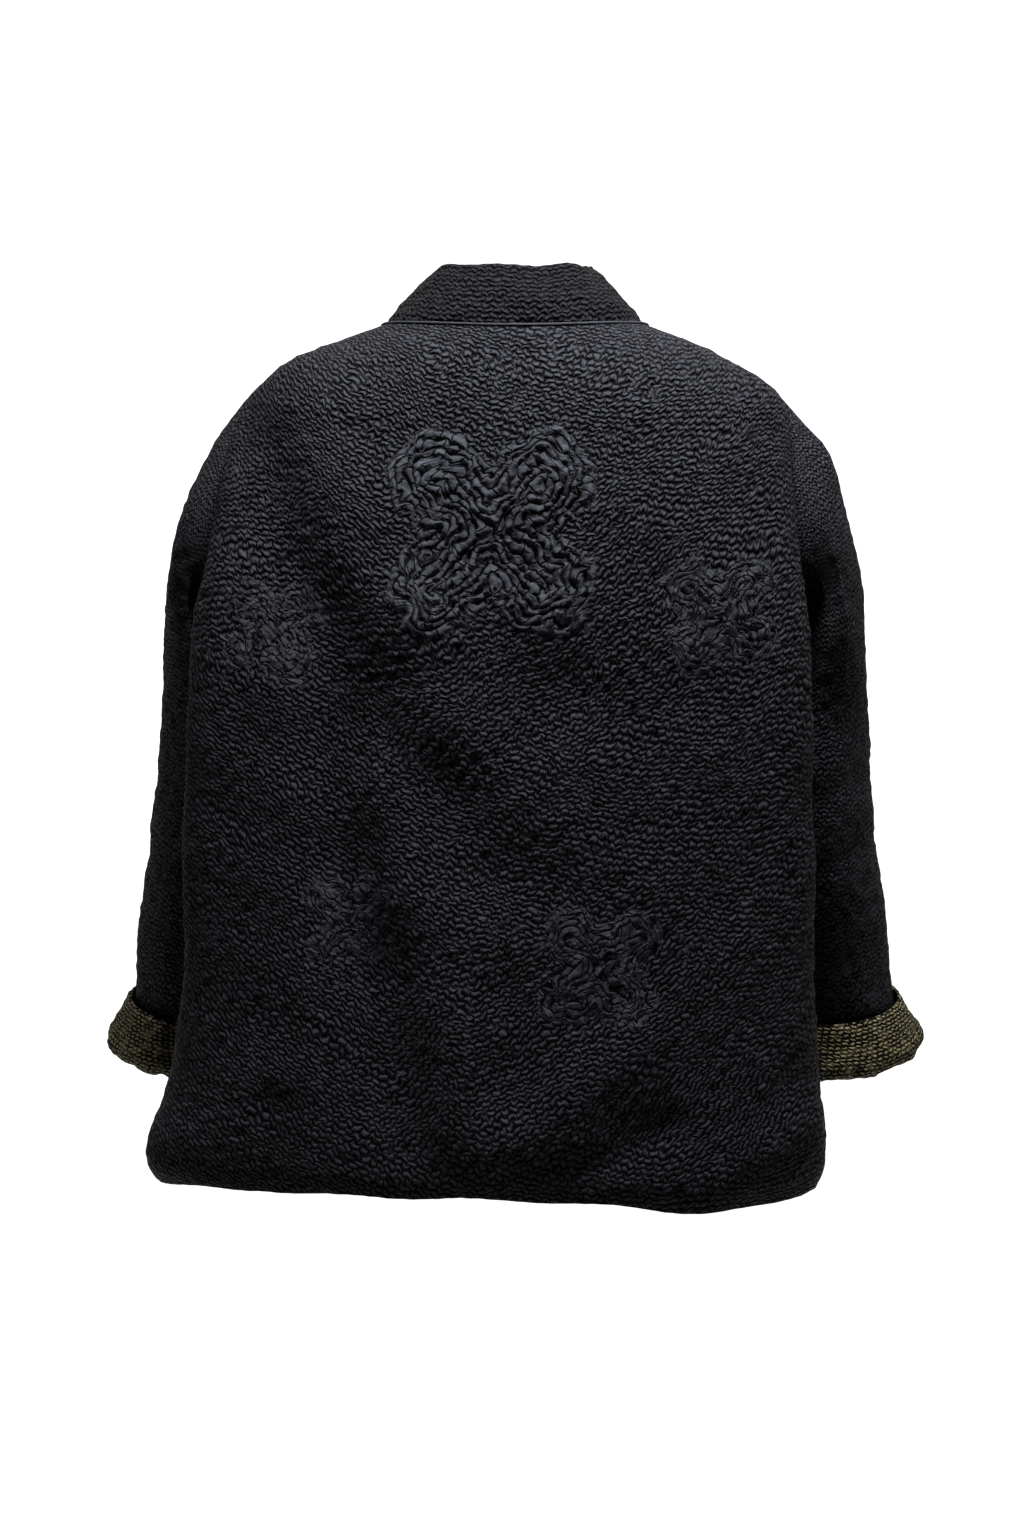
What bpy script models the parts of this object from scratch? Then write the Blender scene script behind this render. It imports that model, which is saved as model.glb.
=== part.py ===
"""A boxy wool jacket with dropped shoulders, a band collar and turned-up cuffs.

It is worn but empty: every piece is a cloth wall round a hollow. Metres, +Z up. The front faces -Y,
the wearer's left is +X, and the origin lies midway between the two side neck points, where the
shoulders carry the jacket.
"""

import math
from collections import namedtuple

import bpy
import numpy as np

# Cloth and seams.
WALL = 0.0028  # two felted layers and the puckering between them
SEAM = 0.0003  # left open between two pieces that are sewn together
FRONT_OPENING = 0.0020  # between the two front edges, which lie side by side

# The body, as rings from the hem to the neck. A ring is named by its height at the side. half is its
# half width, sway moves it towards the wearer's left, widest_y is where it is widest, and square is
# its squareness, with 2 for an ellipse. back_drop and front_drop are how far it sinks at the centre
# back and front. dent narrows it beside the arm that hangs there.
Ring = namedtuple(
    "Ring", "level half sway widest_y back_y front_y back_drop front_drop square dent dent_y"
)
BODY = (
    Ring(-0.660, 0.2490, 0.0210, 0.024, 0.114, -0.125, 0.000, 0.000, 2.5, 0.05, -0.055),
    Ring(-0.650, 0.2545, 0.0215, 0.026, 0.119, -0.130, 0.000, 0.000, 2.5, 0.05, -0.055),
    Ring(-0.632, 0.2560, 0.0215, 0.030, 0.121, -0.132, 0.000, 0.000, 2.5, 0.09, -0.058),
    Ring(-0.590, 0.2480, 0.0178, 0.038, 0.120, -0.132, 0.000, 0.000, 2.5, 0.13, -0.057),
    Ring(-0.545, 0.2420, 0.0140, 0.046, 0.118, -0.131, 0.000, 0.000, 2.5, 0.18, -0.052),
    Ring(-0.500, 0.2380, 0.0118, 0.052, 0.117, -0.130, 0.000, 0.000, 2.5, 0.18, -0.042),
    Ring(-0.400, 0.2400, 0.0118, 0.057, 0.116, -0.129, 0.000, 0.000, 2.5, 0.26, -0.026),
    Ring(-0.320, 0.2412, 0.0114, 0.058, 0.117, -0.128, 0.000, 0.000, 2.5, 0.32, -0.016),
    Ring(-0.285, 0.2408, 0.0110, 0.057, 0.118, -0.127, 0.000, 0.002, 2.5, 0.28, -0.014),
    Ring(-0.240, 0.2375, 0.0103, 0.054, 0.119, -0.126, 0.000, 0.007, 2.5, 0.230, -0.018),
    Ring(-0.200, 0.2295, 0.0092, 0.048, 0.119, -0.124, 0.001, 0.014, 2.5, 0.140, -0.022),
    Ring(-0.150, 0.2220, 0.0072, 0.036, 0.117, -0.119, 0.003, 0.026, 2.4, 0.070, -0.030),
    Ring(-0.110, 0.2160, 0.0050, 0.024, 0.114, -0.113, 0.007, 0.037, 2.3, 0.02, -0.040),
    Ring(-0.088, 0.2128, 0.0024, 0.015, 0.111, -0.109, 0.008, 0.044, 2.2, 0.00, -0.040),
    Ring(-0.070, 0.2075, 0.0010, 0.010, 0.108, -0.105, 0.009, 0.050, 2.2, 0.00, -0.040),
    Ring(-0.056, 0.2010, 0.0005, 0.006, 0.105, -0.101, 0.0095, 0.054, 2.1, 0.00, -0.040),
    Ring(-0.043, 0.1845, 0.0002, 0.003, 0.101, -0.095, 0.009, 0.058, 2.1, 0.00, -0.040),
    Ring(-0.030, 0.1590, 0.0000, 0.001, 0.095, -0.088, 0.008, 0.062, 2.1, 0.00, -0.040),
    Ring(-0.017, 0.1320, 0.0000, -0.001, 0.088, -0.080, 0.007, 0.065, 2.0, 0.00, -0.040),
    Ring(-0.003, 0.0985, 0.0000, -0.004, 0.078, -0.068, 0.007, 0.069, 2.0, 0.00, -0.040),
)
DENT_REACH_BACK = 0.055  # how far a dent spreads to the back
DENT_REACH_FRONT = 0.062
HEM_SLANT = 0.030  # the hem rises this much for each metre towards the wearer's left
HEM_REACH = 0.120  # how far above the hem its slant and waves are felt
HEM_WAVE = 0.0012
HEM_WAVE_LENGTH = 0.019
HEM_DIP = 0.0055  # the hem hangs lower here, on the wearer's right
HEM_DIP_X = -0.125
HEM_DIP_HALF = 0.055
HEM_CORNER = 0.010  # and its right corner is lifted
HEM_CORNER_X = -0.175
HEM_CORNER_REACH = 0.050

# The armhole, a slanted lens between the underarm and the shoulder tip.
UNDERARM_LEVEL = -0.285
TIP_LEVEL = -0.056
SIDE_SEAM_Y = -0.022
ARMHOLE_BACK = 0.052  # from the side seam's line to the armhole's back edge
ARMHOLE_FRONT = 0.045

# The sleeve below the armhole, as rings square to its axis, for the wearer's left.
Arm = namedtuple("Arm", "z x y half_x half_y")
SLEEVE = (
    Arm(-0.330, 0.2295, -0.056, 0.0465, 0.064),
    Arm(-0.365, 0.2318, -0.058, 0.0465, 0.063),
    Arm(-0.400, 0.2350, -0.063, 0.0465, 0.061),
    Arm(-0.440, 0.2405, -0.072, 0.0470, 0.059),
    Arm(-0.480, 0.2462, -0.082, 0.0470, 0.057),
    Arm(-0.515, 0.2510, -0.0915, 0.0465, 0.055),
    Arm(-0.5405, 0.2538, -0.0985, 0.0465, 0.054),
)
CAP_OUTWARD = 0.80  # how the sleeve leaves the armhole, along the body's normal
CAP_DOWN = 0.50
TIP_DOWN = 1.35  # it turns down faster at the shoulder tip
UNDERARM_CLOSING = 0.30  # and at the underarm it leans in over the armhole instead
CAP_HANDLE = 0.34  # roundness of the sleeve's top, as a share of each run's length
TIP_HANDLE = 0.43

# The turned-up cuff's middle line, as steps out from the sleeve's wall and along its axis.
Turn = namedtuple("Turn", "out down")
CUFF = (
    Turn(-0.0014, 0.0003),
    Turn(-0.0006, 0.0120),
    Turn(0.0006, 0.0190),
    Turn(0.0042, 0.0240),
    Turn(0.0100, 0.0262),
    Turn(0.0156, 0.0240),
    Turn(0.0178, 0.0180),
    Turn(0.0136, 0.0070),
    Turn(0.0088, -0.0040),
    Turn(0.0042, -0.0150),
)

# The band collar, which leans in from the neckline to its top edge.
COLLAR_TOP_HALF = 0.0575
COLLAR_TOP_X = -0.0012
COLLAR_TOP_BACK_Y = 0.055
COLLAR_TOP_FRONT_Y = -0.052
COLLAR_TOP_Z_BACK = 0.035
COLLAR_TOP_Z_SIDE = 0.040
COLLAR_TOP_Z_FRONT = -0.020
COLLAR_BULGE = 0.0022
COLLAR_WAVE = 0.0007

# The raised flower: four round-ended petals on the diagonals of the upper back.
FLOWER_X = 0.018
FLOWER_Z = -0.169
PETALS = 4
PETAL_LENGTH = 0.094  # from the flower's centre to a petal's tip
PETAL_HALF = 0.035  # half of a petal's width
PETAL_ROW = 0.0175  # between the raised rows inside a petal
PETAL_EDGE = 0.006  # over which a petal rises to its full height
FLOWER_HEIGHT = 0.0026

# Soft folds. A line is a ridge or trough along its path. A step stands out on the right of its path and
# sinks in on the left, for one who looks at the back and goes down. A path's points are x, z and the
# fold's height there.
STEP_SCALE = math.sqrt(2 * math.e)  # brings a step to its full height at its two sides
Fold = namedtuple("Fold", "panel kind width path")
SHOULDER_FOLD = (  # from the left shoulder down to the middle of the back
    (0.182, -0.070, 0.0060),
    (0.146, -0.176, 0.0070),
    (0.108, -0.254, 0.0060),
    (0.058, -0.332, 0.0036),
    (0.010, -0.390, 0.0024),
    (-0.045, -0.425, 0.0012),
)
SIDE_FOLD = (  # from below the left shoulder down to the hem
    (0.128, -0.270, 0.0020),
    (0.116, -0.350, 0.0046),
    (0.098, -0.440, 0.0056),
    (0.078, -0.500, 0.0048),
    (0.066, -0.560, 0.0052),
    (0.058, -0.615, 0.0056),
)
FOLDS = (
    Fold("back", "step", 0.042, SHOULDER_FOLD),
    Fold("back", "step", 0.034, SIDE_FOLD),
    Fold("back", "line", 0.036, ((0.010, -0.335, -0.0010), (-0.110, -0.215, -0.0010))),
    Fold("back", "line", 0.018, ((-0.040, -0.645, -0.0045), (-0.113, -0.606, -0.0045))),
    Fold("back", "line", 0.020, ((-0.004, -0.612, 0.0040), (-0.095, -0.540, 0.0040))),
    Fold("back", "line", 0.020, ((-0.150, -0.648, 0.0042), (-0.214, -0.606, 0.0042))),
    Fold("back", "line", 0.020, ((0.010, -0.560, -0.0030), (0.040, -0.640, -0.0040))),
    Fold("back", "line", 0.017, ((0.188, -0.665, -0.0036), (0.176, -0.590, -0.0036))),
    Fold("front", "line", 0.030, ((0.150, -0.160, -0.0030), (0.040, -0.330, -0.0030))),
    Fold("front", "line", 0.030, ((-0.150, -0.170, -0.0028), (-0.030, -0.350, -0.0028))),
    Fold("front", "line", 0.026, ((0.090, -0.430, -0.0035), (0.120, -0.640, -0.0035))),
    Fold("front", "line", 0.026, ((-0.075, -0.450, -0.0035), (-0.110, -0.650, -0.0035))),
    Fold("front", "line", 0.020, ((0.030, -0.520, 0.0025), (0.022, -0.660, 0.0025))),
    Fold("front", "line", 0.020, ((-0.160, -0.560, 0.0025), (-0.172, -0.650, 0.0025))),
    Fold("sleeve", "line", 0.030, ((0.288, -0.390, 0.0040), (0.296, -0.470, 0.0040))),
    Fold("sleeve", "line", 0.034, ((-0.214, -0.068, 0.0070), (-0.236, -0.104, 0.0070))),
    Fold("sleeve", "line", 0.022, ((0.212, -0.070, 0.0025), (0.222, -0.085, 0.0025))),
    Fold("sleeve", "line", 0.014, ((0.262, -0.360, -0.0030), (0.205, -0.395, -0.0030))),
    Fold("sleeve", "line", 0.013, ((0.275, -0.410, -0.0025), (0.215, -0.425, -0.0025))),
    Fold("sleeve", "line", 0.010, ((0.278, -0.440, -0.0022), (0.286, -0.510, -0.0022))),
    Fold("sleeve", "line", 0.014, ((-0.262, -0.350, -0.0025), (-0.205, -0.385, -0.0025))),
    Fold("sleeve", "line", 0.013, ((-0.272, -0.400, -0.0024), (-0.215, -0.430, -0.0024))),
    Fold("sleeve", "line", 0.010, ((-0.276, -0.430, -0.0022), (-0.284, -0.515, -0.0022))),
)

# How finely each piece is divided.
SIDE_ROWS = 11  # hem to underarm
BACK_ARMHOLE_ROWS = 32  # twice as fine as the sleeve that meets it
FRONT_ARMHOLE_ROWS = 12
SHOULDER_ROWS = 4
SIDE_COLUMNS = 12  # each side of the flower's columns
FLOWER_COLUMNS = 28
FLOWER_HALF = 0.110  # half of the width that the flower's columns cover
BACK_ROW_LENGTH = 0.60  # about the length of a row across the back
EVENNESS = 0.70  # of the columns beside the flower: 1 spaces them evenly
FRONT_COLUMNS = 9
CAP_ROWS = 7
COLLAR_ROWS = 5
FINE_STEPS = 720  # samples of a ring, to place points by length along it
SMALL_STEP = 0.002  # to each side, to find which way the body's surface faces


def along(table, column, place):
    """A column's value on the smooth curve through a table whose first column rises."""
    places = np.array([row[0] for row in table])
    values = np.array([getattr(row, column) for row in table])
    slopes = np.gradient(values, places)
    place = np.clip(place, places[0], places[-1])
    i = np.clip(np.searchsorted(places, place) - 1, 0, len(places) - 2)
    step = places[i + 1] - places[i]
    t = (place - places[i]) / step
    start = (1 + 2 * t) * (1 - t) ** 2 * values[i] + t * (1 - t) ** 2 * step * slopes[i]
    end = t**2 * (3 - 2 * t) * values[i + 1] + t**2 * (t - 1) * step * slopes[i + 1]
    return start + end


def unit(vectors):
    """The vectors at length 1."""
    lengths = np.linalg.norm(vectors, axis=-1, keepdims=True)
    return vectors / np.maximum(lengths, 1e-12)


def body(turn, level):
    """A point of the body's outer face: turn is 0 at the centre back and a half turn at the front."""
    value = {name: along(BODY, name, level) for name in Ring._fields[1:]}
    power = 2 / value["square"]
    across = np.sin(turn)
    away = np.cos(turn)
    behind = away > 0
    x = value["half"] * np.sign(across) * np.abs(across) ** power
    reach = np.where(behind, value["back_y"], value["front_y"]) - value["widest_y"]
    y = value["widest_y"] + reach * np.abs(away) ** power
    z = level - np.where(behind, value["back_drop"], value["front_drop"]) * away**2
    from_dent = y - value["dent_y"]
    dent_reach = np.where(from_dent > 0, DENT_REACH_BACK, DENT_REACH_FRONT)
    dent = value["dent"] * np.exp(-((from_dent / dent_reach) ** 2))
    x = x * (1 - dent) + value["sway"]
    low = np.clip((BODY[0].level + HEM_REACH - level) / HEM_REACH, 0, 1) ** 2
    dip = HEM_DIP * np.exp(-(((x - HEM_DIP_X) / HEM_DIP_HALF) ** 2))
    corner = HEM_CORNER * np.clip((HEM_CORNER_X - x) / HEM_CORNER_REACH, 0, 1.2) ** 2
    wave = HEM_WAVE * np.sin(x / HEM_WAVE_LENGTH + 2 * turn)
    z = z + low * (HEM_SLANT * x - dip + corner + wave)
    return np.stack((x, y, z), -1)


def turn_at(y, level):
    """The turn, on the wearer's left, at which the ring reaches a given y."""
    turns = np.linspace(0, math.pi, FINE_STEPS + 1)
    ys = body(turns, np.full_like(turns, level))[:, 1]
    return np.interp(-y, -ys, turns)


def armhole_opening(level):
    """How far open the armhole is at a level, from 0 at its ends to 1 at its middle."""
    rise = (level - UNDERARM_LEVEL) / (TIP_LEVEL - UNDERARM_LEVEL)
    return math.sin(math.pi * min(max(rise, 0.0), 1.0))


def seam_line_y(level):
    """Where the side and shoulder seams run: the shoulder's is on the ridge."""
    top = along(BODY, "widest_y", TIP_LEVEL)
    rise = np.clip((level - UNDERARM_LEVEL) / (TIP_LEVEL - UNDERARM_LEVEL), 0, 1)
    low_to_tip = SIDE_SEAM_Y + (top - SIDE_SEAM_Y) * rise
    return np.where(level > TIP_LEVEL, along(BODY, "widest_y", level), low_to_tip)


def edge_turn(level, behind):
    """The turn of a panel's edge: its side seam, its armhole or its shoulder seam."""
    width = ARMHOLE_BACK if behind else -ARMHOLE_FRONT
    gap = SEAM / 2 if behind else -SEAM / 2
    return turn_at(seam_line_y(level) + width * armhole_opening(level) + gap, level)


def edge_levels(armhole_rows):
    """Heights of a panel's rows at its edge, closer together at the ends of the armhole."""
    side = np.linspace(BODY[0].level, UNDERARM_LEVEL, SIDE_ROWS + 1)
    side[1] = BODY[1].level
    share = np.linspace(0, 1, armhole_rows + 1)
    share = (share + (1 - np.cos(math.pi * share)) / 2) / 2
    armhole = UNDERARM_LEVEL + (TIP_LEVEL - UNDERARM_LEVEL) * share
    shoulder = np.linspace(TIP_LEVEL, BODY[-1].level, SHOULDER_ROWS + 1)
    return np.concatenate((side, armhole[1:], shoulder[1:]))


def centre_levels(armhole_rows):
    """Heights of the same rows at the panel's centre, evenly spaced."""
    side = np.linspace(BODY[0].level, UNDERARM_LEVEL, SIDE_ROWS + 1)
    side[1] = BODY[1].level
    armhole = np.linspace(UNDERARM_LEVEL, TIP_LEVEL, armhole_rows + 1)
    shoulder = np.linspace(TIP_LEVEL, BODY[-1].level, SHOULDER_ROWS + 1)
    return np.concatenate((side, armhole[1:], shoulder[1:]))


def body_normal(turn, level):
    """The body's outward direction, from the surface a little to each side."""
    around = body(turn + SMALL_STEP, level) - body(turn - SMALL_STEP, level)
    upward = body(turn, level + SMALL_STEP / 2) - body(turn, level - SMALL_STEP / 2)
    return unit(np.cross(upward, around))


def row_turns(start_turn, end_turn, level_at, shares):
    """Turns and levels along one row, at shares of its length. level_at gives the row's heights."""
    fine = np.linspace(0, 1, FINE_STEPS + 1)
    turns = start_turn + (end_turn - start_turn) * fine
    points = body(turns, level_at(fine))
    steps = np.linalg.norm(np.diff(points, axis=0), axis=1)
    length = np.concatenate(([0], np.cumsum(steps)))
    wanted = np.interp(shares * length[-1], length, fine)
    return start_turn + (end_turn - start_turn) * wanted, level_at(wanted)


def closer_at_end(columns):
    """Shares from 0 to 1 whose steps grow shorter, for a panel that curves more at its side."""
    share = np.linspace(0, 1, columns + 1)
    return EVENNESS * share + (1 - EVENNESS) * np.sin(math.pi / 2 * share)


def back_shares():
    """Columns of the back, as shares of a row's length: even behind the flower, fine at the sides."""
    inner = FLOWER_HALF / BACK_ROW_LENGTH
    right = 0.5 + inner + (0.5 - inner) * closer_at_end(SIDE_COLUMNS)
    middle = np.linspace(0.5 - inner, 0.5 + inner, FLOWER_COLUMNS + 1)
    return np.concatenate((1 - right[:0:-1], middle, right[1:]))


def back_places():
    """Turns and levels of the back, rows from the hem up, columns from the wearer's right to left."""
    rows = []
    sewn_rows = BACK_ARMHOLE_ROWS // 2
    places = np.arange(SIDE_ROWS + sewn_rows + SHOULDER_ROWS + 1)
    between = SIDE_ROWS + 0.5 + np.arange(sewn_rows)
    edges = np.interp(np.sort(np.concatenate((places, between))), places, edge_levels(sewn_rows))
    for edge, centre in zip(edges, centre_levels(BACK_ARMHOLE_ROWS)):
        turn = edge_turn(edge, True)

        def level_at(share, edge=edge, centre=centre):
            return centre + (edge - centre) * (2 * share - 1) ** 2

        rows.append(row_turns(-turn, turn, level_at, back_shares()))
    return np.array(rows).transpose(1, 0, 2)


def front_places(side):
    """Turns and levels of a front, rows from the hem up, columns from its free edge to its side."""
    rows = []
    shares = closer_at_end(FRONT_COLUMNS)
    for edge, centre in zip(edge_levels(FRONT_ARMHOLE_ROWS), centre_levels(FRONT_ARMHOLE_ROWS)):
        turn = edge_turn(edge, False)

        def level_at(share, edge=edge, centre=centre):
            return centre + (edge - centre) * share**2

        rows.append(row_turns(side * math.pi, side * turn, level_at, shares))
    return np.array(rows).transpose(1, 0, 2)


def outward(grid, closed=False):
    """Unit normals of a grid of points round a hollow, pointing away from it."""
    down = np.gradient(grid, axis=0)
    if closed:
        across = np.roll(grid, -1, axis=1) - np.roll(grid, 1, axis=1)
    else:
        across = np.gradient(grid, axis=1)
    found = unit(np.cross(across, down))
    centre = grid.mean(axis=(0, 1))
    away = ((grid - centre) * found).sum()
    return found if away > 0 else -found


def fold_height(panel, grid):
    """How far the folds lift each point, along its normal."""
    total = np.zeros(grid.shape[:2])
    for fold in FOLDS:
        if fold.panel != panel:
            continue
        distance = np.full(grid.shape[:2], np.inf)
        rightward = np.zeros(distance.shape)
        height = np.zeros(distance.shape)
        for (x0, z0, height0), (x1, z1, height1) in zip(fold.path, fold.path[1:]):
            length = math.hypot(x1 - x0, z1 - z0)
            run_x = (x1 - x0) / length
            run_z = (z1 - z0) / length
            x = grid[..., 0] - x0
            z = grid[..., 2] - z0
            ahead = x * run_x + z * run_z
            aside = x * run_z - z * run_x
            within = np.clip(ahead, 0, length)
            found = np.hypot(aside, ahead - within)
            nearer = found < distance
            rightward = np.where(nearer, aside, rightward)
            height = np.where(nearer, height0 + (height1 - height0) * within / length, height)
            distance = np.minimum(found, distance)
        profile = np.exp(-((distance / fold.width) ** 2))
        if fold.kind == "step":
            profile = profile * rightward * STEP_SCALE / fold.width
        total += height * profile
    return total


def folded(panel, grid, facing, closed=False):
    """The grid with its folds, which fade out at the seams so that the pieces still meet."""
    height = fold_height(panel, grid)
    rows = np.arange(grid.shape[0])
    fade = np.clip(rows[::-1] / 2, 0, 1)
    if panel == "sleeve":
        fade = np.minimum(fade, np.clip(rows / 2, 0, 1))
    height *= fade[:, None]
    if not closed:
        columns = np.arange(grid.shape[1])
        height *= np.clip(np.minimum(columns, columns[::-1]) / 2, 0, 1)[None, :]
    return grid + facing * height[..., None]


def flower_height(grid):
    """The raised petals: how far each point stands out, in rows that follow the petals' outline."""
    x = grid[..., 0] - FLOWER_X
    z = grid[..., 2] - FLOWER_Z
    inside = np.full(x.shape, -1.0)
    for k in range(PETALS):
        angle = 2 * math.pi * (k + 0.5) / PETALS
        ahead = x * math.cos(angle) + z * math.sin(angle)
        aside = z * math.cos(angle) - x * math.sin(angle)
        beyond = ahead - np.clip(ahead, 0, PETAL_LENGTH - PETAL_HALF)
        inside = np.maximum(inside, PETAL_HALF - np.hypot(aside, beyond))
    edge = np.clip(inside / PETAL_EDGE, 0, 1)
    rows = 0.6 + 0.4 * np.cos(2 * math.pi * (inside - PETAL_EDGE) / PETAL_ROW)
    return FLOWER_HEIGHT * edge * rows


def kept(fine_from, fine_to, last):
    """Every index outside a fine stretch, and every second one inside it."""
    return [i for i in range(last + 1) if not fine_from < i < fine_to or (i - fine_from) % 2 == 0]


def split(vertices, quad):
    """A quad as two triangles, cut along its shorter diagonal."""
    a, b, c, d = quad
    if np.linalg.norm(vertices[a] - vertices[c]) <= np.linalg.norm(vertices[b] - vertices[d]):
        return [a, b, c], [a, c, d]
    return [a, b, d], [b, c, d]


def wall_mesh(outer, inner, rows, columns, closed):
    """Vertices and faces of a wall between an outer grid and a coarser inner one.

    rows and columns are the indices of the outer grid that the inner one keeps.
    """
    vertices = np.concatenate((outer.reshape(-1, 3), inner.reshape(-1, 3)))
    wide = outer.shape[1]
    inner_wide = inner.shape[1]
    base = outer.shape[0] * wide
    faces = []

    def grid_faces(height, width, first, flip):
        for i in range(height - 1):
            for j in range(width if closed else width - 1):
                k = (j + 1) % width
                quad = [i * width + j, i * width + k, (i + 1) * width + k, (i + 1) * width + j]
                for face in split(vertices, [first + q for q in quad]):
                    faces.append(face[::-1] if flip else face)

    def rim(outer_run, inner_run, steps, flip):
        for (a, b), (c, d) in zip(zip(steps, steps[1:]), zip(inner_run, inner_run[1:])):
            face = list(outer_run[a : b + 1]) + [d, c]
            faces.append(face[::-1] if flip else face)

    grid_faces(outer.shape[0], wide, 0, False)
    grid_faces(inner.shape[0], inner_wide, base, True)
    around = list(range(wide)) + ([0] if closed else [])
    inner_around = list(range(inner_wide)) + ([0] if closed else [])
    steps = list(columns) + ([wide] if closed else [])
    last = outer.shape[0] - 1
    inner_last = inner.shape[0] - 1
    rim(around, [base + j for j in inner_around], steps, True)
    rim(
        [last * wide + j for j in around],
        [base + inner_last * inner_wide + j for j in inner_around],
        steps,
        False,
    )
    if not closed:
        for j, inner_j, flip in ((0, 0, False), (wide - 1, inner_wide - 1, True)):
            rim(
                [i * wide + j for i in range(outer.shape[0])],
                [base + i * inner_wide + inner_j for i in range(inner.shape[0])],
                list(rows),
                flip,
            )
    return vertices, faces


def material(name, colour, roughness):
    made = bpy.data.materials.new(name)
    made.use_nodes = True
    shader = made.node_tree.nodes["Principled BSDF"]
    shader.inputs["Base Color"].default_value = (*colour, 1)
    shader.inputs["Roughness"].default_value = roughness
    shader.inputs["Metallic"].default_value = 0
    return made


def signed_volume(vertices, faces):
    """Above 0 when the faces point out of the solid."""
    total = 0.0
    for face in faces:
        corner = vertices[face[0]]
        for second, third in zip(face[1:], face[2:]):
            total += np.dot(corner, np.cross(vertices[second], vertices[third]))
    return total


def add_object(name, vertices, faces, finish):
    """One closed solid as an object, its faces pointing out."""
    if signed_volume(vertices, faces) < 0:
        faces = [face[::-1] for face in faces]
    mesh = bpy.data.meshes.new(name)
    mesh.from_pydata([tuple(v) for v in vertices], [], [list(f) for f in faces])
    mesh.update()
    mesh.shade_smooth()
    mesh.materials.append(finish)
    made = bpy.data.objects.new(name, mesh)
    bpy.context.scene.collection.objects.link(made)
    return made


def add_wall(name, outer, inner, finish, closed=False, rows=None, columns=None):
    """A panel as an object: its outer points and, coarser where rows and columns say so, its inner."""
    rows = rows or list(range(outer.shape[0]))
    columns = columns or list(range(outer.shape[1]))
    inner = inner[np.ix_(rows, columns)]
    vertices, faces = wall_mesh(outer, inner, rows, columns, closed)
    return add_object(name, vertices, faces, finish)


def straighten_edges(grid):
    """Puts every second armhole point of the back on the line that the sleeve's edge follows."""
    for i in range(SIDE_ROWS + 1, SIDE_ROWS + BACK_ARMHOLE_ROWS, 2):
        for j in (0, -1):
            grid[i, j] = (grid[i - 1, j] + grid[i + 1, j]) / 2


def make_back(finish):
    """The back panel. Returns its outer and inner points, which its neighbours are sewn to."""
    turns, levels = back_places()
    facing = body_normal(turns, levels)
    grid = folded("back", body(turns, levels), facing)
    inner = grid - facing * WALL
    straighten_edges(grid)
    straighten_edges(inner)
    raised = grid + facing * flower_height(grid)[..., None]
    rows = kept(SIDE_ROWS, SIDE_ROWS + BACK_ARMHOLE_ROWS, grid.shape[0] - 1)
    columns = kept(SIDE_COLUMNS, SIDE_COLUMNS + FLOWER_COLUMNS, grid.shape[1] - 1)
    add_wall("back", raised, inner, finish, rows=rows, columns=columns)
    return grid, inner


def make_front(name, side, finish):
    """One front, whose free edge hangs beside the other's."""
    turns, levels = front_places(side)
    facing = body_normal(turns, levels)
    grid = folded("front", body(turns, levels), facing)
    grid[:, 0, 0] = along(BODY, "sway", levels[:, 0]) + side * FRONT_OPENING / 2
    inner = grid - facing * WALL
    inner[:, 0, 0] = grid[:, 0, 0]
    add_wall(name, grid, inner, finish)
    return grid, inner


def armhole_loop(back, front, side):
    """The armhole's edge from the shoulder tip round the back to the underarm and up the front."""
    column = -1 if side > 0 else 0
    back_rows = range(SIDE_ROWS + BACK_ARMHOLE_ROWS, SIDE_ROWS - 1, -2)
    down = back[list(back_rows), column]
    up = front[SIDE_ROWS : SIDE_ROWS + FRONT_ARMHOLE_ROWS + 1, -1]
    loop = np.concatenate((down, up[1:-1]))
    loop[0] = (down[0] + up[-1]) / 2
    loop[len(down) - 1] = (down[-1] + up[0]) / 2
    return loop


def sewn_on(loop, inner_loop):
    """The loop moved off the edge by the seam's gap, into the armhole, with its inner edge."""
    outward_here = unit(loop - inner_loop)
    tangent = np.roll(loop, -1, axis=0) - np.roll(loop, 1, axis=0)
    into = unit(np.cross(tangent, outward_here))
    into *= np.sign(((loop.mean(axis=0) - loop) * into).sum())
    return loop + into * SEAM, inner_loop + into * SEAM, outward_here


def sleeve_ring(row, axis, turns, side):
    """One ring of the sleeve. turns is 0 on the outer side and a quarter turn at the back."""
    centre = np.array((side * row.x, row.y, row.z))
    out = np.array((side, 0.0, 0.0))
    out = unit(out - axis * (out @ axis))
    rear = unit(np.cross(axis, out)) * -side
    return centre + np.outer(np.cos(turns) * row.half_x, out) + np.outer(np.sin(turns) * row.half_y, rear)


def sleeve_axis(i, side):
    """The way the sleeve runs at one of its rings, towards the cuff."""
    before = SLEEVE[max(i - 1, 0)]
    after = SLEEVE[min(i + 1, len(SLEEVE) - 1)]
    return unit(np.array((side * (after.x - before.x), after.y - before.y, after.z - before.z)))


def loop_turns(start):
    """Turns of the armhole's points: half a turn behind the underarm and half in front of it."""
    steps = np.linalg.norm(np.roll(start, -1, axis=0) - start, axis=1)
    lengths = np.concatenate(([0], np.cumsum(steps)))
    underarm = BACK_ARMHOLE_ROWS // 2
    behind = lengths[:underarm] / lengths[underarm]
    ahead = (lengths[underarm:-1] - lengths[underarm]) / (lengths[-1] - lengths[underarm])
    return math.pi * np.concatenate((behind, 1 + ahead))


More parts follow.
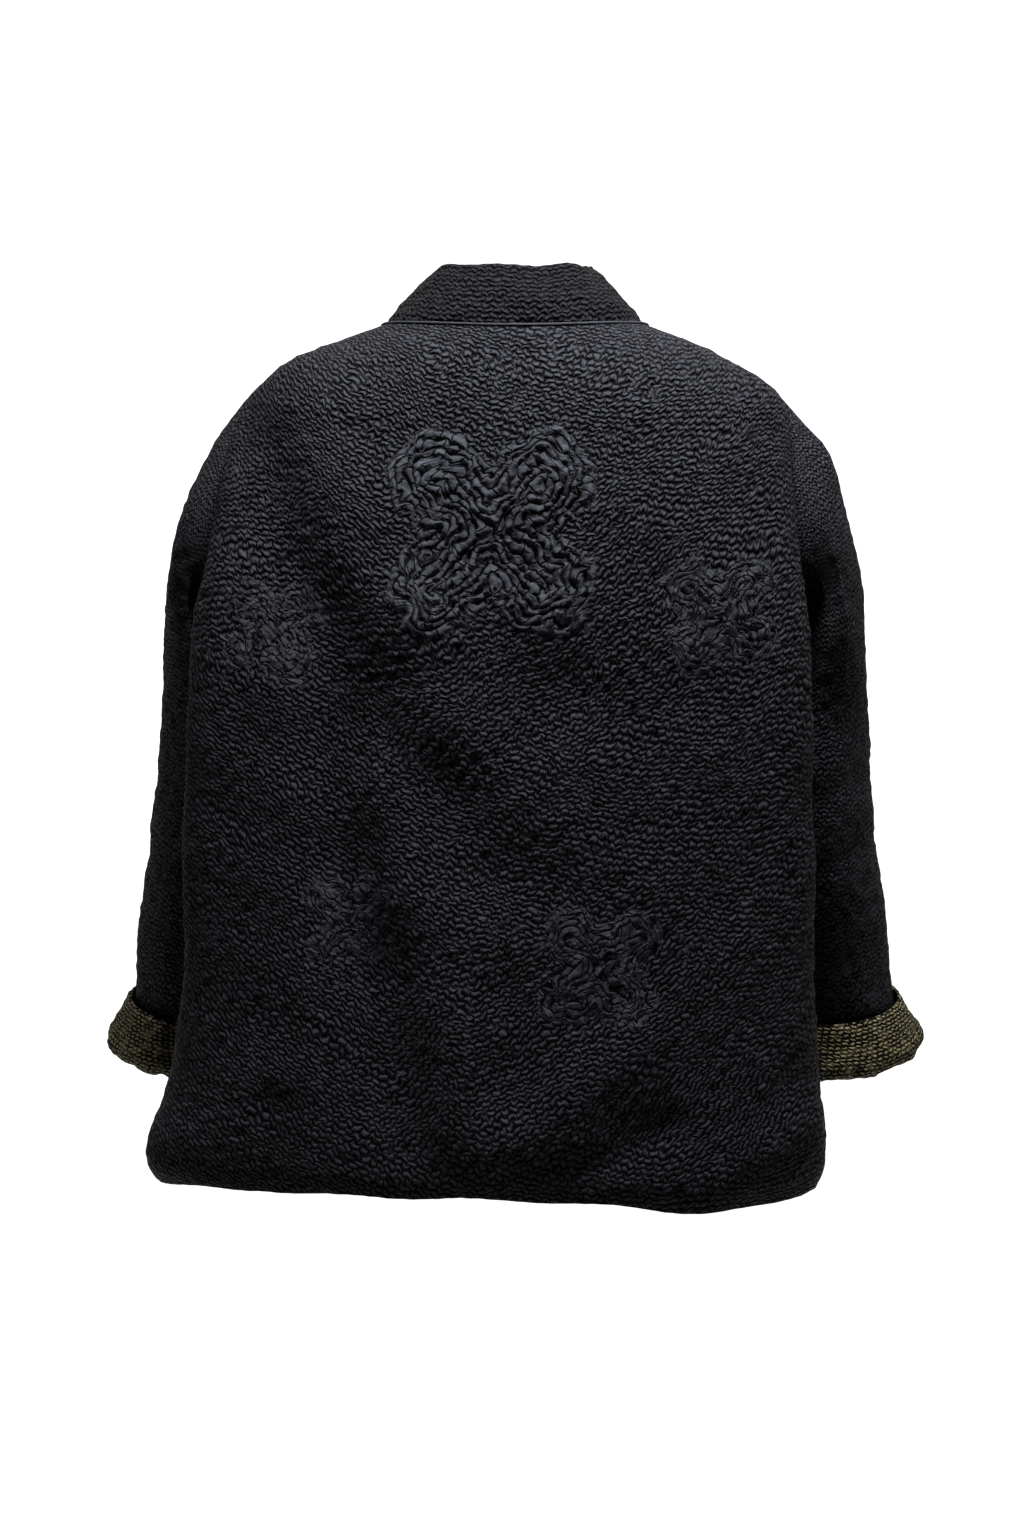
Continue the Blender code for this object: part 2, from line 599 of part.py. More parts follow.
def cap_rings(start, outward_here, ring, turns, side):
    """The sleeve's top, bending from the armhole's edge down into its first plain ring."""
    top_share = np.clip(np.cos(turns), 0, 1)[:, None] ** 2
    low_share = np.sqrt(np.clip(-2 * np.cos(turns), 0, 1))[:, None]
    down = CAP_DOWN + (TIP_DOWN - CAP_DOWN) * top_share - CAP_DOWN * low_share
    closing = unit(start.mean(axis=0) - start) * UNDERARM_CLOSING * low_share
    leave = unit(outward_here * CAP_OUTWARD + np.array((0, 0, -1.0)) * down + closing)
    run = np.linalg.norm(ring - start, axis=1, keepdims=True)
    handle = run * (CAP_HANDLE + (TIP_HANDLE - CAP_HANDLE) * top_share)
    first = start + leave * handle
    second = ring - sleeve_axis(0, side) * handle
    rings = []
    for t in np.linspace(0, 1, CAP_ROWS + 1)[:-1]:
        near_start = (1 - t) ** 3 * start + 3 * t * (1 - t) ** 2 * first
        near_ring = 3 * t**2 * (1 - t) * second + t**3 * ring
        rings.append(near_start + near_ring)
    return rings


def make_sleeve(name, side, back, front, finish):
    """A sleeve. Returns its turns, which the cuff shares."""
    loop = armhole_loop(back[0], front[0], side)
    inner_loop = armhole_loop(back[1], front[1], side)
    start, inner_start, outward_here = sewn_on(loop, inner_loop)
    turns = loop_turns(start)
    rings = [sleeve_ring(row, sleeve_axis(i, side), turns, side) for i, row in enumerate(SLEEVE)]
    grid = np.array(cap_rings(start, outward_here, rings[0], turns, side) + rings)
    grid = folded("sleeve", grid, outward(grid, True), closed=True)
    inner = grid - outward(grid, True) * WALL
    inner[0] = inner_start
    add_wall(name, grid, inner, finish, closed=True)
    return turns


def make_cuff(name, side, turns, finish):
    """The sleeve's end, folded up outside itself: a wall along a U-shaped line."""
    last = SLEEVE[-1]
    axis = sleeve_axis(len(SLEEVE) - 1, side)
    middle = np.array([tuple(turn) for turn in CUFF])
    slope = unit(np.gradient(middle, axis=0))
    square = np.stack((-slope[:, 1], slope[:, 0]), -1)
    near = middle + square * WALL / 2
    far = middle - square * WALL / 2
    loop = np.concatenate((far, near[::-1]))
    rings = []
    for out, along_axis in loop:
        wider = last._replace(half_x=last.half_x + out, half_y=last.half_y + out)
        rings.append(sleeve_ring(wider, axis, turns, side) + axis * along_axis)
    grid = np.array(rings)
    high, wide = grid.shape[:2]
    faces = []
    for i in range(high):
        for j in range(wide):
            i2, j2 = (i + 1) % high, (j + 1) % wide
            faces.append([i * wide + j, i * wide + j2, i2 * wide + j2, i2 * wide + j])
    add_object(name, grid.reshape(-1, 3), faces, finish)


def neck_line(grids, layer):
    """The neckline from the left front edge round the back to the right front edge."""
    left = grids["front_left"][layer][-1]
    back = grids["back"][layer][-1]
    right = grids["front_right"][layer][-1]
    kept_back = kept(SIDE_COLUMNS, SIDE_COLUMNS + FLOWER_COLUMNS, len(back) - 1)
    across = back[kept_back][::-1]
    line = np.concatenate((left[:-1], across, right[:-1][::-1]))
    line[len(left) - 1] = (left[-1] + across[0]) / 2
    line[len(left) - 2 + len(across)] = (right[-1] + across[-1]) / 2
    return line


def neck_rise(grids, line):
    """The direction in which each panel's surface runs on beyond the neckline."""
    top = np.concatenate([grids[name][0][-1] for name in ("front_left", "back", "front_right")])
    below = np.concatenate([grids[name][0][-2] for name in ("front_left", "back", "front_right")])
    rise = unit(top - below)
    nearest = [np.argmin(np.linalg.norm(top - point, axis=1)) for point in line]
    return rise[nearest]


def make_collar(grids, finish):
    """The band collar, from the neckline to its top edge."""
    line = neck_line(grids, 0)
    rise = neck_rise(grids, line)
    base = line + rise * SEAM
    inner_base = neck_line(grids, 1) + rise * SEAM
    steps = np.linalg.norm(np.diff(base, axis=0), axis=1)
    share = np.concatenate(([0], np.cumsum(steps))) / steps.sum()
    turns = math.pi * (1 - 2 * share)
    across, away = np.sin(turns), np.cos(turns)
    behind = away > 0
    top_y = np.where(behind, COLLAR_TOP_BACK_Y, -COLLAR_TOP_FRONT_Y) * away
    low_z = np.where(behind, COLLAR_TOP_Z_BACK, COLLAR_TOP_Z_FRONT)
    top = np.stack(
        (
            COLLAR_TOP_X + COLLAR_TOP_HALF * across,
            top_y,
            COLLAR_TOP_Z_SIDE * across**2 + low_z * away**2 + COLLAR_WAVE * np.sin(turns * 7),
        ),
        -1,
    )
    top[0, 0] = FRONT_OPENING / 2
    top[-1, 0] = -FRONT_OPENING / 2
    plain = np.array([base + (top - base) * v for v in np.linspace(0, 1, COLLAR_ROWS + 1)])
    swell = np.sin(np.linspace(0, math.pi, COLLAR_ROWS + 1))[:, None, None]
    grid = plain + outward(plain) * COLLAR_BULGE * swell
    inner = grid - outward(grid) * WALL
    inner[0] = inner_base
    for j in (0, -1):
        grid[:, j, 0] = plain[:, j, 0]
        inner[:, j, 0] = plain[:, j, 0]
    add_wall("collar", grid, inner, finish)


def clear_scene():
    for made in list(bpy.data.objects):
        bpy.data.objects.remove(made)


def main():
    clear_scene()
    finish = {
        name: material(name, (0.012, 0.013, 0.015), 0.8)
        for name in ("back", "front_left", "front_right", "sleeve_left", "sleeve_right", "collar")
    }
    for name in ("cuff_left", "cuff_right"):
        finish[name] = material(name, (0.145, 0.125, 0.065), 0.85)
    grids = {"back": make_back(finish["back"])}
    for word, side in (("left", 1), ("right", -1)):
        name = "front_" + word
        grids[name] = make_front(name, side, finish[name])
        sleeve = "sleeve_" + word
        turns = make_sleeve(sleeve, side, grids["back"], grids[name], finish[sleeve])
        make_cuff("cuff_" + word, side, turns, finish["cuff_" + word])
    make_collar(grids, finish["collar"])


main()
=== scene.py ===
import math
from collections import namedtuple

import bpy
import numpy as np
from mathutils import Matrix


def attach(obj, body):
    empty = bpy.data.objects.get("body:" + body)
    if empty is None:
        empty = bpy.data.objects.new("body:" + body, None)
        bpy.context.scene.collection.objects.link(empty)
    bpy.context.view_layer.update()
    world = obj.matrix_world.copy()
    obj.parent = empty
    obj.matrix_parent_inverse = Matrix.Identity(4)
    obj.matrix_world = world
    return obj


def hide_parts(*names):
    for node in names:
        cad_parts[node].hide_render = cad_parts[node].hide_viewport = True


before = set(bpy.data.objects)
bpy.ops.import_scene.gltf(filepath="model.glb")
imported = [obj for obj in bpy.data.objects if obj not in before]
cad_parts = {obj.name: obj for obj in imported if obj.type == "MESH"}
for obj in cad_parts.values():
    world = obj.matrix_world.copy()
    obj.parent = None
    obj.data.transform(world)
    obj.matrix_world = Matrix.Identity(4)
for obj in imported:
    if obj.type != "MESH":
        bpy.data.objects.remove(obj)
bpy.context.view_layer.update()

# The body's rings and the sleeve's rings, as in the solids: metres, +Z up, the front faces -Y.
bodyRing = namedtuple(
    "bodyRing", "level half sway widestY backY frontY backDrop frontDrop square dent dentY"
)
bodyRings = [bodyRing(*row) for row in (
    (-0.660, 0.2490, 0.0210, 0.024, 0.114, -0.125, 0.000, 0.000, 2.5, 0.05, -0.055),
    (-0.650, 0.2545, 0.0215, 0.026, 0.119, -0.130, 0.000, 0.000, 2.5, 0.05, -0.055),
    (-0.632, 0.2560, 0.0215, 0.030, 0.121, -0.132, 0.000, 0.000, 2.5, 0.09, -0.058),
    (-0.590, 0.2480, 0.0178, 0.038, 0.120, -0.132, 0.000, 0.000, 2.5, 0.13, -0.057),
    (-0.545, 0.2420, 0.0140, 0.046, 0.118, -0.131, 0.000, 0.000, 2.5, 0.18, -0.052),
    (-0.500, 0.2380, 0.0118, 0.052, 0.117, -0.130, 0.000, 0.000, 2.5, 0.18, -0.042),
    (-0.400, 0.2400, 0.0118, 0.057, 0.116, -0.129, 0.000, 0.000, 2.5, 0.26, -0.026),
    (-0.320, 0.2412, 0.0114, 0.058, 0.117, -0.128, 0.000, 0.000, 2.5, 0.32, -0.016),
    (-0.285, 0.2408, 0.0110, 0.057, 0.118, -0.127, 0.000, 0.002, 2.5, 0.28, -0.014),
    (-0.240, 0.2375, 0.0103, 0.054, 0.119, -0.126, 0.000, 0.007, 2.5, 0.23, -0.018),
    (-0.200, 0.2295, 0.0092, 0.048, 0.119, -0.124, 0.001, 0.014, 2.5, 0.14, -0.022),
    (-0.150, 0.2220, 0.0072, 0.036, 0.117, -0.119, 0.003, 0.026, 2.4, 0.07, -0.030),
    (-0.110, 0.2160, 0.0050, 0.024, 0.114, -0.113, 0.007, 0.037, 2.3, 0.02, -0.040),
    (-0.088, 0.2128, 0.0024, 0.015, 0.111, -0.109, 0.008, 0.044, 2.2, 0.00, -0.040),
    (-0.070, 0.2075, 0.0010, 0.010, 0.108, -0.105, 0.009, 0.050, 2.2, 0.00, -0.040),
    (-0.056, 0.2010, 0.0005, 0.006, 0.105, -0.101, 0.0095, 0.054, 2.1, 0.00, -0.040),
    (-0.043, 0.1845, 0.0002, 0.003, 0.101, -0.095, 0.009, 0.058, 2.1, 0.00, -0.040),
    (-0.030, 0.1590, 0.0000, 0.001, 0.095, -0.088, 0.008, 0.062, 2.1, 0.00, -0.040),
    (-0.017, 0.1320, 0.0000, -0.001, 0.088, -0.080, 0.007, 0.065, 2.0, 0.00, -0.040),
    (-0.003, 0.0985, 0.0000, -0.004, 0.078, -0.068, 0.007, 0.069, 2.0, 0.00, -0.040),
)]
sleeveRow = namedtuple("sleeveRow", "z x y halfX halfY")
sleeveRows = [sleeveRow(*row) for row in (
    (-0.330, 0.2295, -0.056, 0.0465, 0.064),
    (-0.365, 0.2318, -0.058, 0.0465, 0.063),
    (-0.400, 0.2350, -0.063, 0.0465, 0.061),
    (-0.440, 0.2405, -0.072, 0.0470, 0.059),
    (-0.480, 0.2462, -0.082, 0.0470, 0.057),
    (-0.515, 0.2510, -0.0915, 0.0465, 0.055),
    (-0.5405, 0.2538, -0.0985, 0.0465, 0.054),
)]

# The cut, the armholes and the hem, which shape every piece.
jacket = {
    "wall": 0.0028,
    "seamGap": 0.0003,
    "frontOpening": 0.0020,
    "underarmLevel": -0.285,
    "tipLevel": -0.056,
    "sideSeamY": -0.022,
    "armholeBack": 0.052,
    "armholeFront": 0.045,
    "dentReachBack": 0.055,
    "dentReachFront": 0.062,
    "hemSlant": 0.030,
    "hemReach": 0.120,
    "hemWave": 0.0012,
    "hemWaveLength": 0.019,
    "hemDip": 0.0055,
    "hemDipX": -0.125,
    "hemDipHalf": 0.055,
    "hemCorner": 0.010,
    "hemCornerX": -0.175,
    "hemCornerReach": 0.050,
    "hemCornerMost": 1.2,
    "seamDitch": 0.0011,  # how deep the cloth rolls in at a sewn edge
    "seamRoll": 0.0032,
    "edgeRoll": 0.0013,  # how far a free edge bulges past its cut
    "fadeRows": 10,  # over which folds and swells fade out at a panel's ends
    "fadeColumns": 12,
    "swellSize": 0.075,
    "swell": 0.0007,
    "puckerSize": 0.0095,
    "puckerSwell": 0.00035,
}
# Soft folds: a ridge or trough along a path, or a step that is high on the path's right and low on its
# left for one who looks at the back and goes down. A path's points are x, z and the height there.
softFold = namedtuple("softFold", "panel kind width path")
shoulderFold = (  # from the left shoulder down to the middle of the back
    (0.182, -0.070, 0.0060),
    (0.146, -0.176, 0.0070),
    (0.108, -0.254, 0.0060),
    (0.058, -0.332, 0.0036),
    (0.010, -0.390, 0.0024),
    (-0.045, -0.425, 0.0012),
)
sideFold = (  # from below the left shoulder down to the hem
    (0.128, -0.270, 0.0020),
    (0.116, -0.350, 0.0046),
    (0.098, -0.440, 0.0056),
    (0.078, -0.500, 0.0048),
    (0.066, -0.560, 0.0052),
    (0.058, -0.615, 0.0056),
)
softFolds = [softFold(*row) for row in (
    ("back", "step", 0.042, shoulderFold),
    ("back", "step", 0.034, sideFold),
    ("back", "line", 0.036, ((0.010, -0.335, -0.0010), (-0.110, -0.215, -0.0010))),
    ("back", "line", 0.018, ((-0.040, -0.645, -0.0045), (-0.113, -0.606, -0.0045))),
    ("back", "line", 0.020, ((-0.004, -0.612, 0.0040), (-0.095, -0.540, 0.0040))),
    ("back", "line", 0.020, ((-0.150, -0.648, 0.0042), (-0.214, -0.606, 0.0042))),
    ("back", "line", 0.020, ((0.010, -0.560, -0.0030), (0.040, -0.640, -0.0040))),
    ("back", "line", 0.017, ((0.188, -0.665, -0.0036), (0.176, -0.590, -0.0036))),
    ("front", "line", 0.030, ((0.150, -0.160, -0.0030), (0.040, -0.330, -0.0030))),
    ("front", "line", 0.030, ((-0.150, -0.170, -0.0028), (-0.030, -0.350, -0.0028))),
    ("front", "line", 0.026, ((0.090, -0.430, -0.0035), (0.120, -0.640, -0.0035))),
    ("front", "line", 0.026, ((-0.075, -0.450, -0.0035), (-0.110, -0.650, -0.0035))),
    ("front", "line", 0.020, ((0.030, -0.520, 0.0025), (0.022, -0.660, 0.0025))),
    ("front", "line", 0.020, ((-0.160, -0.560, 0.0025), (-0.172, -0.650, 0.0025))),
    ("sleeve", "line", 0.030, ((0.288, -0.390, 0.0040), (0.296, -0.470, 0.0040))),
    ("sleeve", "line", 0.034, ((-0.214, -0.068, 0.0070), (-0.236, -0.104, 0.0070))),
    ("sleeve", "line", 0.022, ((0.212, -0.070, 0.0025), (0.222, -0.085, 0.0025))),
    ("sleeve", "line", 0.014, ((0.262, -0.360, -0.0030), (0.205, -0.395, -0.0030))),
    ("sleeve", "line", 0.013, ((0.275, -0.410, -0.0025), (0.215, -0.425, -0.0025))),
    ("sleeve", "line", 0.010, ((0.278, -0.440, -0.0022), (0.286, -0.510, -0.0022))),
    ("sleeve", "line", 0.014, ((-0.262, -0.350, -0.0025), (-0.205, -0.385, -0.0025))),
    ("sleeve", "line", 0.013, ((-0.272, -0.400, -0.0024), (-0.215, -0.430, -0.0024))),
    ("sleeve", "line", 0.010, ((-0.276, -0.430, -0.0022), (-0.284, -0.515, -0.0022))),
)]


# Values on smooth curves through the rows of a table or a grid, at the wanted places.
def smoothed(places, values, wanted):
    slopes = np.gradient(values, places, axis=0)
    i = np.clip(np.searchsorted(places, wanted) - 1, 0, len(places) - 2)
    shape = np.shape(i) + (1,) * (values.ndim - 1)
    step = np.reshape(places[i + 1] - places[i], shape)
    t = np.reshape(wanted - places[i], shape) / step
    start = (1 + 2 * t) * (1 - t) ** 2 * values[i] + t * (1 - t) ** 2 * step * slopes[i]
    end = t**2 * (3 - 2 * t) * values[i + 1] + t**2 * (t - 1) * step * slopes[i + 1]
    return start + end


def along(table, column, place):
    places = np.array([row[0] for row in table])
    values = np.array([getattr(row, column) for row in table])
    return smoothed(places, values, np.clip(place, places[0], places[-1]))


def unit(directions):
    return directions / np.maximum(np.linalg.norm(directions, axis=-1, keepdims=True), 1e-12)


# Lengths between a grid's rows, which is axis 0, or its columns, which is axis 1.
def gaps(grid, axis):
    return np.linalg.norm(np.diff(grid, axis=axis), axis=2)


# Lengths run from a grid's first row or column to each of its points, and from a path's start.
def runLengths(grid, axis):
    zero = np.zeros_like(np.take(grid, [0], axis)[..., 0])
    return np.concatenate((zero, np.cumsum(gaps(grid, axis), axis=axis)), axis=axis)


def pathLengths(path):
    return runLengths(path[:, None], 0)[:, 0]


# Points at the wanted lengths along a path.
def spread(wanted, lengths, path):
    return np.stack([np.interp(wanted, lengths, path[:, k]) for k in range(3)], -1)


# A point of the body's outer face: turn is 0 at the centre back and half a turn at the front.
def body(turn, level):
    ring = {name: along(bodyRings, name, level) for name in bodyRing._fields[1:]}
    power = 2 / ring["square"]
    across = np.sin(turn)
    away = np.cos(turn)
    behind = away > 0
    x = ring["half"] * np.sign(across) * np.abs(across) ** power
    reach = np.where(behind, ring["backY"], ring["frontY"]) - ring["widestY"]
    y = ring["widestY"] + reach * np.abs(away) ** power
    z = level - np.where(behind, ring["backDrop"], ring["frontDrop"]) * away**2
    fromDent = y - ring["dentY"]
    dentReach = np.where(fromDent > 0, jacket["dentReachBack"], jacket["dentReachFront"])
    x = x * (1 - ring["dent"] * np.exp(-((fromDent / dentReach) ** 2))) + ring["sway"]
    low = np.clip((bodyRings[0].level + jacket["hemReach"] - level) / jacket["hemReach"], 0, 1) ** 2
    dip = jacket["hemDip"] * np.exp(-(((x - jacket["hemDipX"]) / jacket["hemDipHalf"]) ** 2))
    corner = np.clip((jacket["hemCornerX"] - x) / jacket["hemCornerReach"], 0, jacket["hemCornerMost"]) ** 2
    wave = jacket["hemWave"] * np.sin(x / jacket["hemWaveLength"] + 2 * turn)
    z = z + low * (jacket["hemSlant"] * x - dip + jacket["hemCorner"] * corner + wave)
    return np.stack((x, y, z), -1)


def bodyNormal(turn, level):
    around = body(turn + 0.002, level) - body(turn - 0.002, level)
    upward = body(turn, level + 0.001) - body(turn, level - 0.001)
    return unit(np.cross(upward, around))


def turnAt(y, level):
    turns = np.linspace(0, math.pi, 721)
    return np.interp(-y, -body(turns, np.full_like(turns, level))[:, 1], turns)


# The turn of a panel's edge: its side seam, its armhole or its shoulder seam.
def edgeTurn(level, behind):
    low, tip = jacket["underarmLevel"], jacket["tipLevel"]
    rise = min(max((level - low) / (tip - low), 0.0), 1.0)
    top = along(bodyRings, "widestY", tip)
    seamY = jacket["sideSeamY"] + (top - jacket["sideSeamY"]) * rise
    if level > tip:
        seamY = along(bodyRings, "widestY", level)
    opening = math.sin(math.pi * rise)
    if behind:
        return turnAt(seamY + jacket["armholeBack"] * opening + jacket["seamGap"] / 2, level)
    return turnAt(seamY - jacket["armholeFront"] * opening - jacket["seamGap"] / 2, level)


# Heights of a panel's rows at its side edge and at its centre.
def rowLevels(sideRows, armholeRows, shoulderRows, atEdge):
    low, tip = jacket["underarmLevel"], jacket["tipLevel"]
    share = np.linspace(0, 1, armholeRows + 1)
    if atEdge:
        share = (share + (1 - np.cos(math.pi * share)) / 2) / 2
    side = np.linspace(bodyRings[0].level, low, sideRows + 1)
    shoulder = np.linspace(tip, bodyRings[-1].level, shoulderRows + 1)
    return np.concatenate((side, low + (tip - low) * share[1:], shoulder[1:]))


# Turns and levels of a panel's points, from the hem up: side is 0 for the back, 1 and -1 for the fronts.
def panelPlaces(rows, shares, side):
    fine = np.linspace(0, 1, 721)
    found = []
    for edge, centre in zip(rowLevels(*rows, True), rowLevels(*rows, False)):
        turn = edgeTurn(edge, side == 0)
        start, end = (side * math.pi, side * turn) if side else (-turn, turn)
        turns = start + (end - start) * fine
        bend = fine**2 if side else (2 * fine - 1) ** 2
        levels = centre + (edge - centre) * bend
        length = pathLengths(body(turns, levels))
        wanted = shares * length[-1]
        found.append((np.interp(wanted, length, turns), np.interp(wanted, length, levels)))
    return np.array(found).transpose(1, 0, 2)


def outward(grid, closed=False):
    across = np.roll(grid, -1, axis=1) - np.roll(grid, 1, axis=1) if closed else np.gradient(grid, axis=1)
    found = unit(np.cross(across, np.gradient(grid, axis=0)))
    away = ((grid - grid.mean(axis=(0, 1))) * found).sum()
    return found if away > 0 else -found


def foldHeight(panel, grid):
    total = np.zeros(grid.shape[:2])
    for fold in softFolds:
        if fold.panel != panel:
            continue
        distance = np.full(grid.shape[:2], np.inf)
        rightward, height = np.zeros(distance.shape), np.zeros(distance.shape)
        for (x0, z0, height0), (x1, z1, height1) in zip(fold.path, fold.path[1:]):
            length = math.hypot(x1 - x0, z1 - z0)
            runX, runZ = (x1 - x0) / length, (z1 - z0) / length
            x, z = grid[..., 0] - x0, grid[..., 2] - z0
            ahead, aside = x * runX + z * runZ, x * runZ - z * runX
            within = np.clip(ahead, 0, length)
            found = np.hypot(aside, ahead - within)
            nearer = found < distance
            rightward = np.where(nearer, aside, rightward)
            height = np.where(nearer, height0 + (height1 - height0) * within / length, height)
            distance = np.minimum(found, distance)
        profile = np.exp(-((distance / fold.width) ** 2))
        if fold.kind == "step":
            profile = profile * rightward * math.sqrt(2 * math.e) / fold.width
        total += height * profile
    return total


# A smooth uneven field about 1 high, as a sum of plane waves with fixed seeds.
def uneven(place, wavelength, seed, count=28):
    rng = np.random.default_rng(seed)
    total = np.zeros(place.shape[:-1])
    for _ in range(count):
        direction = unit(rng.normal(size=place.shape[-1]))
        number = 2 * math.pi / (wavelength * rng.uniform(0.7, 1.5))
        total += np.cos((place @ direction) * number + rng.uniform(0, 2 * math.pi))
    return total * math.sqrt(2 / count)


# Lengths along the cloth from the panel's middle column and top row, which the puckers follow.
def clothPlaces(grid, middle, closed=False):
    across = runLengths(grid, 1)
    across = across - across[:, middle : middle + 1]
    down = runLengths(grid[::-1], 0)[::-1]
    if closed:
        last = np.linalg.norm(grid[:, 0] - grid[:, -1], axis=1)[:, None]
        across = np.concatenate((across, across[:, -1:] + last), axis=1)
        down = np.concatenate((down, down[:, :1]), axis=1)
    return np.stack((across, down), -1)


# How far inside a flower of round-ended petals a place lies, in metres, and how far along its petal.
def insideFlower(x, z, flower):
    x, z = x - flower.x, z - flower.z
    straight = flower.size - flower.petalHalf
    inside = np.full(x.shape, -1.0)
    onward = np.zeros(x.shape)
    for k in range(flower.petals):
        angle = flower.turned + 2 * math.pi * k / flower.petals
        ahead = x * math.cos(angle) + z * math.sin(angle)
        aside = z * math.cos(angle) - x * math.sin(angle)
        beyond = ahead - np.clip(ahead, 0, straight)
        depth = flower.petalHalf - np.hypot(aside, beyond)
        bend = np.arctan2(beyond, np.abs(aside)) * np.minimum(np.hypot(aside, beyond), flower.petalHalf)
        onward = np.where(depth > inside, np.clip(ahead, 0, straight) + bend, onward)
        inside = np.maximum(inside, depth)
    return inside, onward


def smoothRows(grid, spacing):
    places = np.concatenate(([0], np.cumsum(gaps(grid, 0).mean(axis=1))))
    return smoothed(places, grid, np.linspace(0, places[-1], round(places[-1] / spacing) + 1))


def kept(last, step):
    return list(range(0, last, step)) + [last]


# Index loops round a grid: one round an open sheet, or one at each end of a tube.
def rimLoops(high, wide, closed):
    if closed:
        return [[(0, j) for j in range(wide)], [(high - 1, j) for j in range(wide)]]
    loop = [(0, j) for j in range(wide - 1)] + [(i, wide - 1) for i in range(high - 1)]
    loop += [(high - 1, j) for j in range(wide - 1, 0, -1)] + [(i, 0) for i in range(high - 1, 0, -1)]
    return [loop]


# A new object, linked into the scene.
def linked(name, data):
    made = bpy.data.objects.new(name, data)
    bpy.context.scene.collection.objects.link(made)
    return made


# How each kind of piece is clothed: its slot, its outer and inner cloth, how it is held, whether it is a
# closed tube, its free edges, and how many of the outer face's steps one step of the inner face spans.
pieceKind = namedtuple("pieceKind", "slot outside inside held closed free coarse")
pieceKinds = {
    "back": pieceKind("black_cloth", "back", "lining", "draped", False, ("low",), 4),
    "front": pieceKind("black_cloth", "plain", "lining", "draped", False, ("low",), 3),
    "sleeve": pieceKind("black_cloth", "sleeve", "lining", "draped", True, (), 3),
    "cuff": pieceKind("olive_reverse", "olive", "sleeve", "folded", True, ("low", "high"), 2),
    "collar": pieceKind("black_cloth", "collar", "lining", "stretched", False, ("high",), 2),
}


